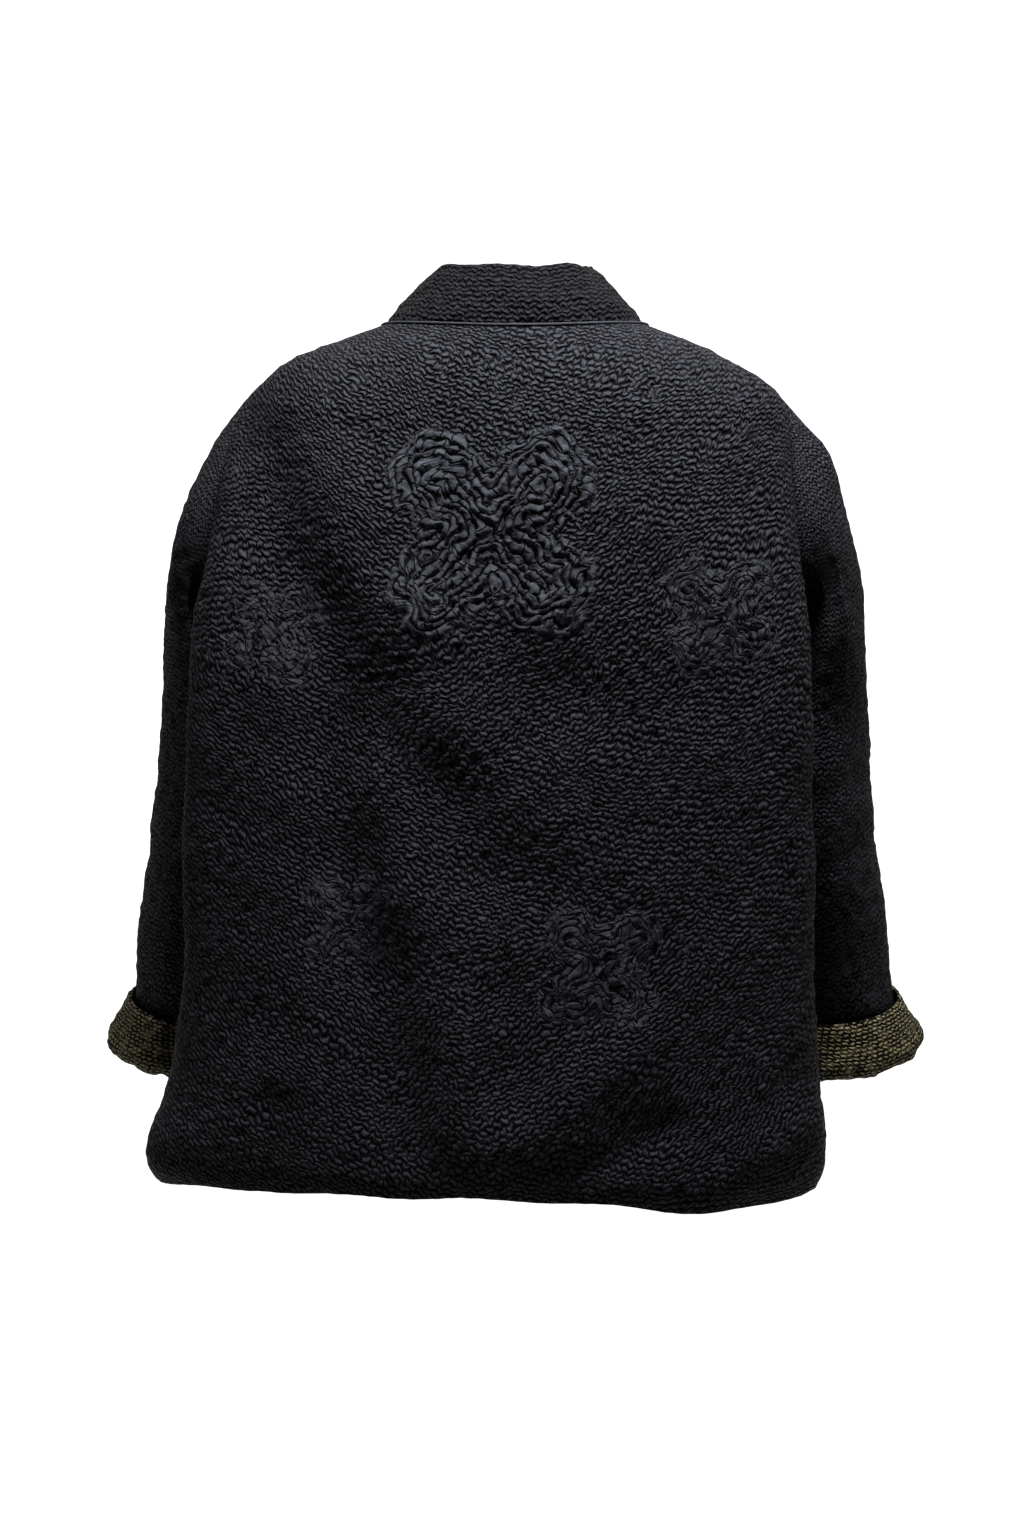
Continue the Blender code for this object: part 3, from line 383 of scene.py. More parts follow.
# A thin closed shell: a fine outer face, a coarser inner one, and rims rounded where they are free.
def shell(name, outer, plain, facing, places, marks, kind):
    high, wide = outer.shape[:2]
    closed = kind.closed
    inner = plain - facing * jacket["wall"]
    rowsKept = kept(high - 1, kind.coarse)
    columnsKept = list(range(0, wide, kind.coarse)) if closed else kept(wide - 1, kind.coarse)
    pick = np.ix_(rowsKept, columnsKept)
    vertices = [outer.reshape(-1, 3), inner[pick].reshape(-1, 3)]
    layers = marks.shape[-1]
    zone = [marks.reshape(-1, layers), marks[pick].reshape(-1, layers) * 0]
    base = high * wide
    innerIndex = {}
    for i in rowsKept:
        for j in columnsKept:
            innerIndex[i, j] = base + len(innerIndex)
    base += len(innerIndex)
    faces, corners, slots = [], [], []

    def add(face, corner, slot, flip):
        faces.append(face[::-1] if flip else face)
        corners.extend(corner[::-1] if flip else corner)
        slots.append(slot)

    def quads(rows, columns, index, slot, flip):
        count = len(columns)
        for a in range(len(rows) - 1):
            for b in range(count if closed else count - 1):
                c = (b + 1) % count
                jumps = places[0].shape[0] - 1 if c == 0 else columns[c]
                face = [index(rows[a], columns[b]), index(rows[a], columns[c])]
                face += [index(rows[a + 1], columns[c]), index(rows[a + 1], columns[b])]
                corner = [(rows[a], columns[b]), (rows[a], jumps)]
                corner += [(rows[a + 1], jumps), (rows[a + 1], columns[b])]
                add(face, corner, slot, flip)

    across = outer[1, 1] - outer[1, 0]
    upward = outer[2, 0] - outer[1, 0]
    flipped = np.dot(np.cross(across, upward), facing[1, 0]) < 0
    quads(list(range(high)), list(range(wide)), lambda i, j: i * wide + j, 0, flipped)
    quads(rowsKept, columnsKept, lambda i, j: innerIndex[i, j], 1, not flipped)

    for which, loop in enumerate(rimLoops(high, wide, closed)):
        rows = np.array([place[0] for place in loop])
        columns = np.array([place[1] for place in loop])
        edge = outer[rows, columns]
        inside = inner[rows, columns]
        tangent = np.roll(edge, -1, axis=0) - np.roll(edge, 1, axis=0)
        off = unit(np.cross(tangent, facing[rows, columns]))
        middle = outer[np.clip(rows, 3, high - 4), columns if closed else np.clip(columns, 3, wide - 4)]
        off *= np.sign(((edge - middle) * off).sum(axis=1))[:, None]
        ends = {"low": rows == 0, "high": rows == high - 1}
        bulge = np.zeros(len(loop))
        for side in kind.free:
            bulge[ends[side]] = jacket["edgeRoll"]
        previous = rows * wide + columns
        count = len(loop)
        turned = flipped if (not closed or which == 0) else not flipped
        for step in (1, 2, 3):
            angle = math.pi * step / 4
            ring = edge * (1 + math.cos(angle)) / 2 + inside * (1 - math.cos(angle)) / 2
            vertices.append(ring + off * (bulge * math.sin(angle))[:, None])
            zone.append(marks[rows, columns])
            ringIndex = base + np.arange(count)
            base += count
            for a in range(count):
                b = (a + 1) % count
                here, onward = (rows[a], columns[a]), (rows[b], columns[b])
                face = [previous[b], previous[a], ringIndex[a], ringIndex[b]]
                add(face, [onward, here, here, onward], 0, turned)
            previous = ringIndex
        stops = [a for a in range(count) if loop[a] in innerIndex]
        for a, b in zip(stops, stops[1:] + [stops[0] + count]):
            run = [n % count for n in range(b, a - 1, -1)]
            pair = [loop[a % count], loop[b % count]]
            face = [previous[n] for n in run] + [innerIndex[place] for place in pair]
            add(face, [loop[n] for n in run] + pair, 1, turned)

    mesh = bpy.data.meshes.new(name)
    mesh.from_pydata(np.concatenate(vertices).tolist(), [], [[int(v) for v in face] for face in faces])
    layer = mesh.uv_layers.new(name="cloth")
    corners = np.array(corners)
    layer.data.foreach_set("uv", places[corners[:, 0], corners[:, 1]].astype(np.float32).ravel())
    zone = np.concatenate(zone).astype(np.float32)
    for k, title in enumerate(("rows", "relief")):
        attribute = mesh.attributes.new(title, "FLOAT_VECTOR", "POINT")
        attribute.data.foreach_set("vector", zone[:, 3 * k : 3 * k + 3].ravel())
    mesh.polygons.foreach_set("material_index", slots)
    mesh.shade_smooth()
    mesh.materials.append(cloths[kind.outside])
    mesh.materials.append(cloths[kind.inside])
    mesh.update()
    return linked(name, mesh)


# Makes a piece of cloth and joins it to the frame in place of its solid.
def makeCloth(solid, grid, facing, lift, places, marks):
    kind = pieceKinds[solid.split("_")[0]]
    outer = grid + facing * lift[..., None]
    piece = shell(solid + "_cloth", outer, grid, facing, places, marks, kind)
    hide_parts(solid)
    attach(piece, "root")
    if kind.closed:
        grid = np.concatenate((grid, grid[:, :1]), axis=1)


# Material building: a node with its inputs set or linked by position or name.
def node(tree, kind, settings=None, **inputs):
    made = tree.nodes.new(kind)
    for key, value in (settings or {}).items():
        setattr(made, key, value)
    for key, value in inputs.items():
        place = made.inputs[int(key[1:])] if key[0] == "n" and key[1:].isdigit() else made.inputs[key]
        if isinstance(value, bpy.types.NodeSocket):
            tree.links.new(value, place)
        else:
            place.default_value = value
    return made


def calculate(tree, operation, first, second=0.0, third=0.0):
    return node(tree, "ShaderNodeMath", {"operation": operation}, n0=first, n1=second, n2=third).outputs[0]


# A sum that starts from one value and adds each part times its factor.
def summed(tree, start, *parts):
    for value, factor in parts:
        start = calculate(tree, "MULTIPLY_ADD", value, factor, start)
    return start


def vectorMath(tree, operation, first, second):
    given = {"Scale": second} if operation == "SCALE" else {"n1": second}
    made = node(tree, "ShaderNodeVectorMath", {"operation": operation}, n0=first, **given)
    return made.outputs["Value" if operation == "DOT_PRODUCT" else "Vector"]


def separated(tree, place):
    return node(tree, "ShaderNodeSeparateXYZ", None, n0=place).outputs


def combined(tree, x, y):
    return node(tree, "ShaderNodeCombineXYZ", None, n0=x, n1=y, n2=0.0).outputs[0]


def mixColours(tree, share, first, second):
    return node(tree, "ShaderNodeMix", {"data_type": "RGBA"}, n0=share, n6=first, n7=second).outputs[2]


# The value's range from low to high, brought smoothly to another one.
def remap(tree, value, low, high, toLow=0.0, toHigh=1.0):
    steps = {"interpolation_type": "SMOOTHSTEP"}
    given = {"n0": value, "n1": low, "n2": high, "n3": toLow, "n4": toHigh}
    return node(tree, "ShaderNodeMapRange", steps, **given).outputs[0]


def noise(tree, place, size, detail=1.0, colour=False):
    scaled = vectorMath(tree, "SCALE", place, 1 / size)
    made = node(tree, "ShaderNodeTexNoise", None, Vector=scaled, Scale=1.0, Detail=detail)
    return made.outputs["Color" if colour else "Fac"]


# The place moved by noise, to let rows wander.
def wander(tree, place, size, reach, shift=0.0):
    field = noise(tree, vectorMath(tree, "ADD", place, (shift, -shift, shift)), size, 1.0, True)
    centred = vectorMath(tree, "SUBTRACT", field, (0.5, 0.5, 0.5))
    return vectorMath(tree, "ADD", place, vectorMath(tree, "SCALE", centred, 2 * reach))


# Rows of puckers at one slope: the grooves between them, 1 in a groove and 0 on a pucker, and their tones.
def puckerRows(tree, place, slope, look, prefix=""):
    length, pitch, groove, zigzag = (look[prefix + key] for key in ("length", "pitch", "groove", "zigzag"))
    given = {"Vector": place, "Angle": math.radians(90 - slope)}
    turned = node(tree, "ShaderNodeVectorRotate", {"rotation_type": "Z_AXIS"}, **given).outputs[0]
    onward, aside, _ = separated(tree, turned)
    drift = calculate(tree, "MULTIPLY", noise(tree, turned, look["driftSize"]), look["drift"])
    phase = summed(tree, drift, (onward, 2 * math.pi / (look["zigzagLength"] * length)))
    zig = summed(tree, aside, (calculate(tree, "SINE", phase), zigzag))
    waved = combined(tree, calculate(tree, "MULTIPLY", onward, look["cutSharpness"]), zig)
    made = node(tree, "ShaderNodeTexBrick", {"offset": 0.5, "squash": 1.0}, Vector=waved, Scale=1.0)
    sizes = {"Brick Width": look["cutSharpness"] * length, "Row Height": pitch, "Mortar Size": groove}
    sizes.update({"Mortar Smooth": 1.0, "Color1": (0, 0, 0, 1), "Color2": (1, 1, 1, 1)})
    sizes["Mortar"] = (0.5, 0.5, 0.5, 1)
    for title, size in sizes.items():
        made.inputs[title].default_value = size
    return made.outputs["Fac"], made.outputs["Color"]


def blend(tree, share, first, second):
    return node(tree, "ShaderNodeMix", {"data_type": "FLOAT"}, n0=share, n2=first, n3=second).outputs[0]


# Flat facets that lean each its own way, like crumpled paper: lean, distance from the middle, and chance.
def crumples(tree, place, size):
    cells = node(tree, "ShaderNodeTexVoronoi", {"feature": "F1"}, Vector=place, Scale=1 / size).outputs
    fromMiddle = vectorMath(tree, "SUBTRACT", place, cells["Position"])
    lean = vectorMath(tree, "SUBTRACT", cells["Color"], (0.5, 0.5, 0.5))
    tilt = vectorMath(tree, "DOT_PRODUCT", fromMiddle, lean)
    chance = calculate(tree, "SUBTRACT", cells["Color"], 0.5)
    return calculate(tree, "MULTIPLY", tilt, 2 / size), cells["Distance"], chance


def newMaterial(name):
    made = bpy.data.materials.new(name)
    made.use_nodes = True
    return made, made.node_tree, made.node_tree.nodes["Principled BSDF"]


# Links the last colour, roughness and height, and sets the sheen.
def finishCloth(tree, shader, look, colour, rough, height, relief):
    bump = node(tree, "ShaderNodeBump", None, Strength=1.0, Distance=relief, Height=height).outputs[0]
    for title, value in (("Base Color", colour), ("Roughness", rough), ("Normal", bump)):
        tree.links.new(value, shader.inputs[title])
    shader.inputs["Sheen Weight"].default_value = look["sheen"]
    shader.inputs["Specular IOR Level"].default_value = look["shine"]


# Smooth felted wool for a narrow edge, on the object's own coordinates.
def feltedEdge(name, look):
    made, tree, shader = newMaterial(name)
    place = node(tree, "ShaderNodeTexCoord").outputs["Object"]
    pulled = noise(tree, place, look["edgeSize"], 2.0)
    fuzz = noise(tree, place, look["fuzzSize"], 3.0)
    height = summed(tree, pulled, (fuzz, look["fuzz"]))
    rough = summed(tree, look["rough"], (fuzz, look["fuzzRough"]))
    colour = mixColours(tree, pulled, look["low"], look["high"])
    finishCloth(tree, shader, look, colour, rough, height, look["edgeRelief"])
    return made


# The raised rows inside a flower, which follow its petals, mixed over the plain ones.
def petalRows(tree, place, look, patches, height, groove, tone):
    marks = node(tree, "ShaderNodeAttribute", {"attribute_name": "relief"}).outputs["Vector"]
    depth, onward, presence = separated(tree, marks)
    ragged = wander(tree, place, look["crumpleSize"], look["crumple"])
    lean, middle, chance = crumples(tree, ragged, look["petal facet"])
    row = summed(tree, depth, (chance, look["petal step"]))
    rows = wander(tree, combined(tree, onward, row), look["petal wiggle size"], look["petal wiggle"], 0.5)
    petalGroove, petalTone = puckerRows(tree, rows, 90, look, "petal ")
    varied = noise(tree, place, look["petal depth size"], 2.0)
    deep = remap(tree, varied, *look["petal depth edge"], look["petal shallow"])
    petalGroove = calculate(tree, "MULTIPLY", petalGroove, deep)
    parts = ((middle, -look["petal crown"]), (lean, look["petal lean"]), (petalGroove, -look["petal depth"]))
    petalHeight = summed(tree, 1.0, *parts)
    frayed = calculate(tree, "ADD", presence, calculate(tree, "SUBTRACT", patches, 0.5))
    frayed = summed(tree, frayed, (chance, look["fray"]))
    strength = remap(tree, presence, *look["faintEdge"], look["faint"])
    inside = calculate(tree, "MULTIPLY", remap(tree, frayed, *look["frayEdge"]), strength)
    pairs = ((height, petalHeight), (groove, petalGroove), (tone, petalTone))
    return [blend(tree, inside, plain, raised) for plain, raised in pairs]


# Puckered wool: rows of grooves at three slopes in patches, facets, fuzz and a faint weave, with painted
# shade darkening the grooves.
def puckeredCloth(name, look):
    made, tree, shader = newMaterial(name)
    place = node(tree, "ShaderNodeUVMap", {"uv_map": "cloth"}).outputs[0]
    marks = node(tree, "ShaderNodeAttribute", {"attribute_name": "rows"}).outputs["Vector"]
    zone = separated(tree, marks)
    loose = place
    for word, shift in (("bend", 0.0), ("wiggle", 0.37), ("rag", 0.91)):
        loose = wander(tree, loose, look[word + "Size"], look[word], shift)

    groove, tone = puckerRows(tree, loose, look["slopes"][0], look)
    patches = noise(tree, place, look["patchSize"])
    other = noise(tree, place, look["patchSize"] * look["otherPatches"])
    for slope, weight, field in zip(look["slopes"][1:], zone, (patches, other)):
        more, moreTone = puckerRows(tree, loose, slope, look)
        mixed = summed(tree, weight, (calculate(tree, "SUBTRACT", field, 0.5), look["patch"]))
        share = remap(tree, mixed, *look["patchEdge"])
        groove = blend(tree, share, groove, more)
        tone = blend(tree, share, tone, moreTone)
    varied = noise(tree, place, look["depthSize"], 2.0)
    groove = calculate(tree, "MULTIPLY", groove, remap(tree, varied, *look["depthEdge"], look["shallow"]))
    lean, middle, _ = crumples(tree, loose, look["facet"])
    parts = ((middle, -look["crown"]), (lean, look["lean"]), (groove, -1.0), (tone, look["stepHeight"]))
    height = summed(tree, 1.0, *parts)
    if look["flower"]:
        height, groove, tone = petalRows(tree, place, look, patches, height, groove, tone)

    fuzz = noise(tree, place, look["fuzzSize"], 3.0)
    bands = {"wave_type": "BANDS", "bands_direction": "DIAGONAL"}
    given = {"Vector": place, "Scale": 1 / look["weave"], "Distortion": look["weaveBend"], "Detail": 1.0}
    weave = node(tree, "ShaderNodeTexWave", bands, **given).outputs["Fac"]
    height = summed(tree, height, (fuzz, look["fuzz"]), (weave, look["weaveHeight"]))

    # Painted shade: inside the grooves the colour is darkened towards the painted groove shade colour, where
    # shade would fall.
    paintedGrooveShade = remap(tree, groove, look["paintedShadeFrom"], look["paintedShadeTo"])
    wide = noise(tree, place, look["wideSize"], 2.0)
    parts = ((tone, look["toneLight"]), (fuzz, look["fuzzLight"]), (wide, look["wideLight"]))
    light = summed(tree, zone[2], *parts)
    colour = mixColours(tree, light, look["low"], look["high"])
    colour = mixColours(tree, paintedGrooveShade, colour, look["deep"])
    rough = summed(tree, look["rough"], (fuzz, look["fuzzRough"]), (paintedGrooveShade, look["grooveRough"]))
    finishCloth(tree, shader, look, colour, rough, height, look["relief"])
    shader.inputs["Sheen Roughness"].default_value = look["sheenRough"]
    return made


# The cloth's look. Black outside, olive inside and on the turned-up cuffs. Lengths in metres.
blackLook = {
    "slopes": (70, 113, 142),  # of the puckers' rows, from across to down as seen from behind
    "length": 0.0060,
    "pitch": 0.0046,
    "groove": 0.0020,
    "zigzag": 0.0008,
    "cutSharpness": 1.6,
    "bendSize": 0.050,
    "bend": 0.0100,
    "wiggleSize": 0.0065,
    "wiggle": 0.0016,
    "ragSize": 0.0034,
    "rag": 0.0007,
    "patchSize": 0.042,
    "otherPatches": 1.3,
    "patch": 0.7,
    "patchEdge": (0.46, 0.54),
    "depthSize": 0.0085,
    "depthEdge": (0.36, 0.58),
    "shallow": 0.68,
    "facet": 0.0040,
    "crown": 0.25,
    "lean": 0.20,
    "stepHeight": 0.22,
    "fuzzSize": 0.0011,
    "fuzz": 0.07,
    "weave": 0.012,
    "weaveBend": 1.5,
    "weaveHeight": 0.02,
    "relief": 0.0024,
    # where the painted shade in the grooves begins and where it is full
    "paintedShadeFrom": 0.23,
    "paintedShadeTo": 0.84,
    "low": (0.0142, 0.0150, 0.0190, 1),
    "high": (0.0405, 0.0425, 0.0528, 1),
    # the colour of the painted shade at the bottom of the grooves
    "deep": (0.0005, 0.0006, 0.0010, 1),
    "rough": 0.66,
    "sheen": 0.02,
    "shine": 0.09,
    "sheenRough": 0.45,
    "driftSize": 0.021,
    "drift": 9.0,
    "zigzagLength": 1.31,
    "wideSize": 0.055,
    "wideLight": 0.35,
    "toneLight": 0.30,
    "fuzzLight": 0.35,
    "fuzzRough": 0.18,
    "grooveRough": 0.3,
    "edgeSize": 0.006,
    "edgeRelief": 0.0012,
    "flower": False,
}
backLook = {
    **blackLook,
    "flower": True,
    "crumpleSize": 0.007,
    "crumple": 0.0040,
    "petal length": 0.0105,
    "petal pitch": 0.0067,
    "petal groove": 0.0018,
    "petal zigzag": 0.0009,
    "petal facet": 0.0060,
    "petal crown": 0.25,
    "petal lean": 0.95,
    "petal depth": 0.72,
    "petal depth size": 0.014,
    "petal depth edge": (0.34, 0.50),
    "petal shallow": 0.55,
    "petal step": 0.0018,
    "fray": 0.9,
    "frayEdge": (0.46, 0.50),
    "faintEdge": (0.55, 1.0),
    "faint": 0.60,
    "petal wiggle": 0.0024,
    "petal wiggle size": 0.0052,
}
sleeveLook = {
    **blackLook,
    "slopes": (86, 70, 112),
    "pitch": 0.0040,
    "length": 0.0048,
    "groove": 0.0017,
    "low": (0.0165, 0.0174, 0.0220, 1),
    "high": (0.0470, 0.0494, 0.0612, 1),
}
collarLook = {
    **blackLook,
    "slopes": (90, 80, 100),
    "bend": 0.003,
    "pitch": 0.0044,
    "low": (0.0066, 0.0070, 0.0086, 1),
    "high": (0.0140, 0.0146, 0.0182, 1),
}
oliveLook = {
    **blackLook,
    "slopes": (90, 60, 120),
    "bend": 0.003,
    "pitch": 0.0032,
    "length": 0.0050,
    "zigzag": 0.0004,
    "wiggle": 0.0007,
    "rag": 0.0005,
    "cutSharpness": 1.1,
    "groove": 0.0018,
    "relief": 0.0022,
    "low": (0.140, 0.124, 0.064, 1),
    "high": (0.400, 0.348, 0.192, 1),
    # the colour of the painted shade at the bottom of the grooves
    "deep": (0.004, 0.004, 0.0035, 1),
}
liningLook = {
    **oliveLook,
    "relief": 0.0009,
    "bend": 0.008,
    "low": (0.050, 0.044, 0.022, 1),
    "high": (0.260, 0.226, 0.125, 1),
}

cloths = {
    "back": puckeredCloth("black_cloth_back", backLook),
    "plain": puckeredCloth("black_cloth", blackLook),
    "sleeve": puckeredCloth("black_cloth_sleeve", sleeveLook),
    "collar": puckeredCloth("black_cloth_collar", collarLook),
    "olive": puckeredCloth("olive_reverse_cuff", oliveLook),
    "lining": puckeredCloth("olive_reverse_inside", liningLook),
    "edge": feltedEdge("black_cloth_edge", blackLook),
}
print("cloths made")

# Where the rows of puckers tilt the other way, or run steeply: place, reach, and both leanings.
rowZone = namedtuple("rowZone", "x z reach tilt steep")
rowZones = [rowZone(*row) for row in (
    (-0.004, -0.046, 0.045, 0.50, 0.0),
    (-0.080, -0.046, 0.045, 0.40, 0.0),
    (0.225, -0.183, 0.060, 0.95, 0.0),
    (-0.080, -0.183, 0.045, 0.60, 0.0),
    (0.072, -0.252, 0.045, 0.90, 0.0),
    (-0.010, -0.265, 0.055, 0.95, 0.0),
    (-0.080, -0.252, 0.045, 0.80, 0.0),
    (0.072, -0.320, 0.040, 0.30, 0.90),
    (-0.004, -0.520, 0.050, 0.95, 0.0),
    (-0.130, -0.535, 0.055, 0.90, 0.0),
    (0.072, -0.527, 0.040, 0.40, 0.70),
    (0.072, -0.595, 0.040, 0.00, 0.80),
    (-0.004, -0.598, 0.035, 0.90, 0.0),
    (-0.080, -0.595, 0.040, 0.20, 0.70),
    (-0.157, -0.595, 0.050, 0.00, 0.95),
)]
# The raised flower of the upper back and small ones, all of plain round-ended petals.
flower = namedtuple("flower", "x z size petalHalf petals turned height finer")
flowers = [flower(*row) for row in (
    (0.018, -0.169, 0.094, 0.036, 4, math.pi / 4, 1.00, 1.00),
    (-0.153, -0.230, 0.052, 0.021, 4, math.pi / 4 - 0.1, 0.46, 1.30),
    (0.178, -0.243, 0.046, 0.019, 4, math.pi / 4 + 0.1, 0.28, 1.30),
    (-0.061, -0.490, 0.054, 0.022, 4, math.pi / 4 + 0.05, 0.48, 1.30),
    (0.123, -0.455, 0.042, 0.017, 4, math.pi / 4, 0.32, 1.35),
)]
backValues = {
    "rows": (134, 143, 24),  # along the side, the armhole and the shoulder
    "spacing": 0.0028,
    "rowLength": 0.60,
    "sideLength": 0.66,
    "tilt": 0.35,
    "flowerHalf": 0.110,
    "flowerSpacing": 0.0016,
    "flowerRise": 0.0018,
    "flowerRow": 0.0067,
    "flowerRowHeight": 0.00055,
    "flowerLowest": -0.0006,
    "flowerEdge": 0.006,
    "rowWobble": 0.0007,
    "wobbleSize": 0.020,
    "petalStir": 0.0022,
    "stirSize": 0.026,
    "crumpleHeight": 0.0005,
    "crumpleSizes": (0.018, 0.011),
    "crumpleMost": 2.2,
    "petalLight": 0.20,
    "presenceEdge": 0.004,
    "presenceOutside": 0.010,
    "presenceLeast": 0.45,
}


# Places on the panel, stirred a little so that no petal is drawn with a ruler.
def petalPlaces(grid):
    size, stir = backValues["stirSize"], backValues["petalStir"]
    return grid[..., 0] + uneven(grid, size, 14) * stir, grid[..., 2] + uneven(grid, size, 15) * stir


def rowWobble(grid):
    return uneven(grid, backValues["wobbleSize"], 11) * backValues["rowWobble"]


# What the cloth's material reads: both leanings of the rows and the extra light, then what a flower's rows
# follow, which is the depth inside it, the place along its petal and its presence.
def clothMarks(grid, tilt, withFlowers=False):
    marks = np.zeros(grid.shape[:2] + (6,))
    marks[..., 0] = tilt
    if not withFlowers:
        return marks
    values = backValues
    x, z = petalPlaces(grid)
    for zone in rowZones:
        near = np.exp(-((x - zone.x) ** 2 + (z - zone.z) ** 2) / zone.reach**2)
        marks[..., 0] = marks[..., 0] * (1 - near) + zone.tilt * near
        marks[..., 1] = marks[..., 1] * (1 - near) + zone.steep * near
    for each in flowers:
        inside, onward = insideFlower(x, z, each)
        reach = np.clip(inside / values["presenceEdge"], -1, 1) * 0.5 + 0.5
        chosen = inside > -values["presenceOutside"]
        marks[..., 3] = np.where(chosen, inside * each.finer + rowWobble(grid), marks[..., 3])
        marks[..., 4] = np.where(chosen, onward * each.finer, marks[..., 4])
        marks[..., 5] = np.maximum(marks[..., 5], reach * min(1.0, values["presenceLeast"] + each.height))
    marks[..., 2] = values["petalLight"] * np.clip(2 * marks[..., 5] - 1, 0, 1) ** 2
    return marks


# Rows and crumples raised inside each flower, which stand out from the panel.
def flowerRise(grid):
    values = backValues
    wobble = rowWobble(grid)
    first, second = (np.abs(uneven(grid, size, 12 + k)) for k, size in enumerate(values["crumpleSizes"]))
    crumple = np.minimum(first + second, values["crumpleMost"])
    height = np.zeros(grid.shape[:2])
    x, z = petalPlaces(grid)
    for each in flowers:
        inside, _ = insideFlower(x, z, each)
        edge = np.clip(inside / values["flowerEdge"], 0, 1)
        edge = edge * edge * (3 - 2 * edge)
        rows = -np.cos(2 * math.pi * (inside * each.finer + wobble) / values["flowerRow"])
        rise = values["flowerRise"] + values["flowerRowHeight"] * rows - values["crumpleHeight"] * crumple
        height += each.height * edge * np.maximum(rise, values["flowerLowest"])
    return height


# Low unevenness of worn cloth, and the puckers' own swelling.
def clothSwell(grid, seed, values=jacket):
    broad = uneven(grid, values["swellSize"], seed) * values["swell"]
    return broad + uneven(grid, values["puckerSize"], seed + 1) * values["puckerSwell"]


# How far the cloth rolls in near its sewn edges, by length from each.
def seamDip(grid, sides):
    fromFirst, fromLow = runLengths(grid, 1), runLengths(grid, 0)
    distances = {"first": fromFirst, "last": fromFirst[:, -1:] - fromFirst}
    distances.update({"low": fromLow, "high": fromLow[-1:] - fromLow})
    dip = np.zeros(grid.shape[:2])
    for side in sides:
        dip = np.maximum(dip, np.exp(-((distances[side] / jacket["seamRoll"]) ** 2)))
    return dip * jacket["seamDitch"]


def faded(height, panel):
    rows = np.arange(height.shape[0]) / jacket["fadeRows"]
    fade = np.clip(rows[::-1], 0, 1)
    if panel == "sleeve":
        return height * np.minimum(fade, np.clip(rows, 0, 1))[:, None]
    columns = np.arange(height.shape[1]) / jacket["fadeColumns"]
    return height * fade[:, None] * np.clip(np.minimum(columns, columns[::-1]), 0, 1)[None, :]


# A panel of the body with its soft folds.
def foldedPanel(panel, turns, levels):
    facing = bodyNormal(turns, levels)
    plain = body(turns, levels)
    return plain + facing * faded(foldHeight(panel, plain), panel)[..., None], facing


def makeBack():
    values = backValues
    inner = values["flowerHalf"] / values["rowLength"]
    sideCount = round((0.5 - inner) * values["sideLength"] / values["spacing"])
    right = 0.5 + inner + (0.5 - inner) * np.linspace(0, 1, sideCount + 1)
    fineCount = round(2 * values["flowerHalf"] / values["flowerSpacing"])
    middle = np.linspace(0.5 - inner, 0.5 + inner, fineCount + 1)
    shares = np.concatenate((1 - right[:0:-1], middle, right[1:]))
    plain, facing = foldedPanel("back", *panelPlaces(values["rows"], shares, 0))
    lift = faded(flowerRise(plain) + clothSwell(plain, 21), "back")
    lift -= seamDip(plain, ("first", "last", "high"))
    marks = clothMarks(plain, values["tilt"], True)
    makeCloth("back", plain, facing, lift, clothPlaces(plain, len(shares) // 2), marks)
    return plain, facing


frontValues = {
    "rows": (134, 82, 22),  # along the side, the armhole and the shoulder
    "columns": 92,
    "tilt": 0.45,
}


def makeFront(word, side):
    shares = np.linspace(0, 1, frontValues["columns"])
    turns, levels = panelPlaces(frontValues["rows"], shares, side)
    plain, facing = foldedPanel("front", turns, levels)
    plain[:, 0, 0] = along(bodyRings, "sway", levels[:, 0]) + side * jacket["frontOpening"] / 2
    lift = faded(clothSwell(plain, 31 + side), "front") - seamDip(plain, ("last", "high"))
    marks = clothMarks(plain, frontValues["tilt"])
    makeCloth("front_" + word, plain, facing, lift, clothPlaces(plain, 0), marks)
    return plain, facing


# The body's armhole edge from the shoulder tip round the back to the underarm and up the front.
def armholeLoop(back, front, side, count):
    (backStart, backLong, _), (frontStart, frontLong, _) = backValues["rows"], frontValues["rows"]
    down = back[backStart : backStart + backLong + 1, -1 if side > 0 else 0][::-1]
    up = front[frontStart : frontStart + frontLong + 1, -1]
    joined = np.concatenate((down[:-1], (down[-1:] + up[:1]) / 2, up[1:]))
    joined[0] = joined[-1] = (down[0] + up[-1]) / 2
    steps = pathLengths(joined)
    behind = steps[len(down) - 1]
    half = count // 2
    first = np.linspace(0, behind, half + 1)[:-1]
    second = np.linspace(behind, steps[-1], count - half + 1)[:-1]
    return spread(np.concatenate((first, second)), steps, joined)


sleeveValues = {
    "around": 150,
    "tilt": 0.42,
    "spacing": 0.0027,
    "capRows": 7,
    "capOutward": 0.80,
    "capDown": 0.50,
    "tipDown": 1.35,
    "underarmClosing": 0.30,
    "capHandle": 0.34,
    "tipHandle": 0.43,
}


def sleeveAxis(i, side):
    before, after = sleeveRows[max(i - 1, 0)], sleeveRows[min(i + 1, len(sleeveRows) - 1)]
    return unit(np.array((side * (after.x - before.x), after.y - before.y, after.z - before.z)))


# One ring of the sleeve: turns is 0 on the outer side and a quarter turn at the back.
def sleeveRing(row, axis, turns, side):
    out = np.array((side, 0.0, 0.0))
    out = unit(out - axis * (out @ axis))
    rear = unit(np.cross(axis, out)) * -side
    centre = np.array((side * row.x, row.y, row.z))
    return centre + np.outer(np.cos(turns) * row.halfX, out) + np.outer(np.sin(turns) * row.halfY, rear)


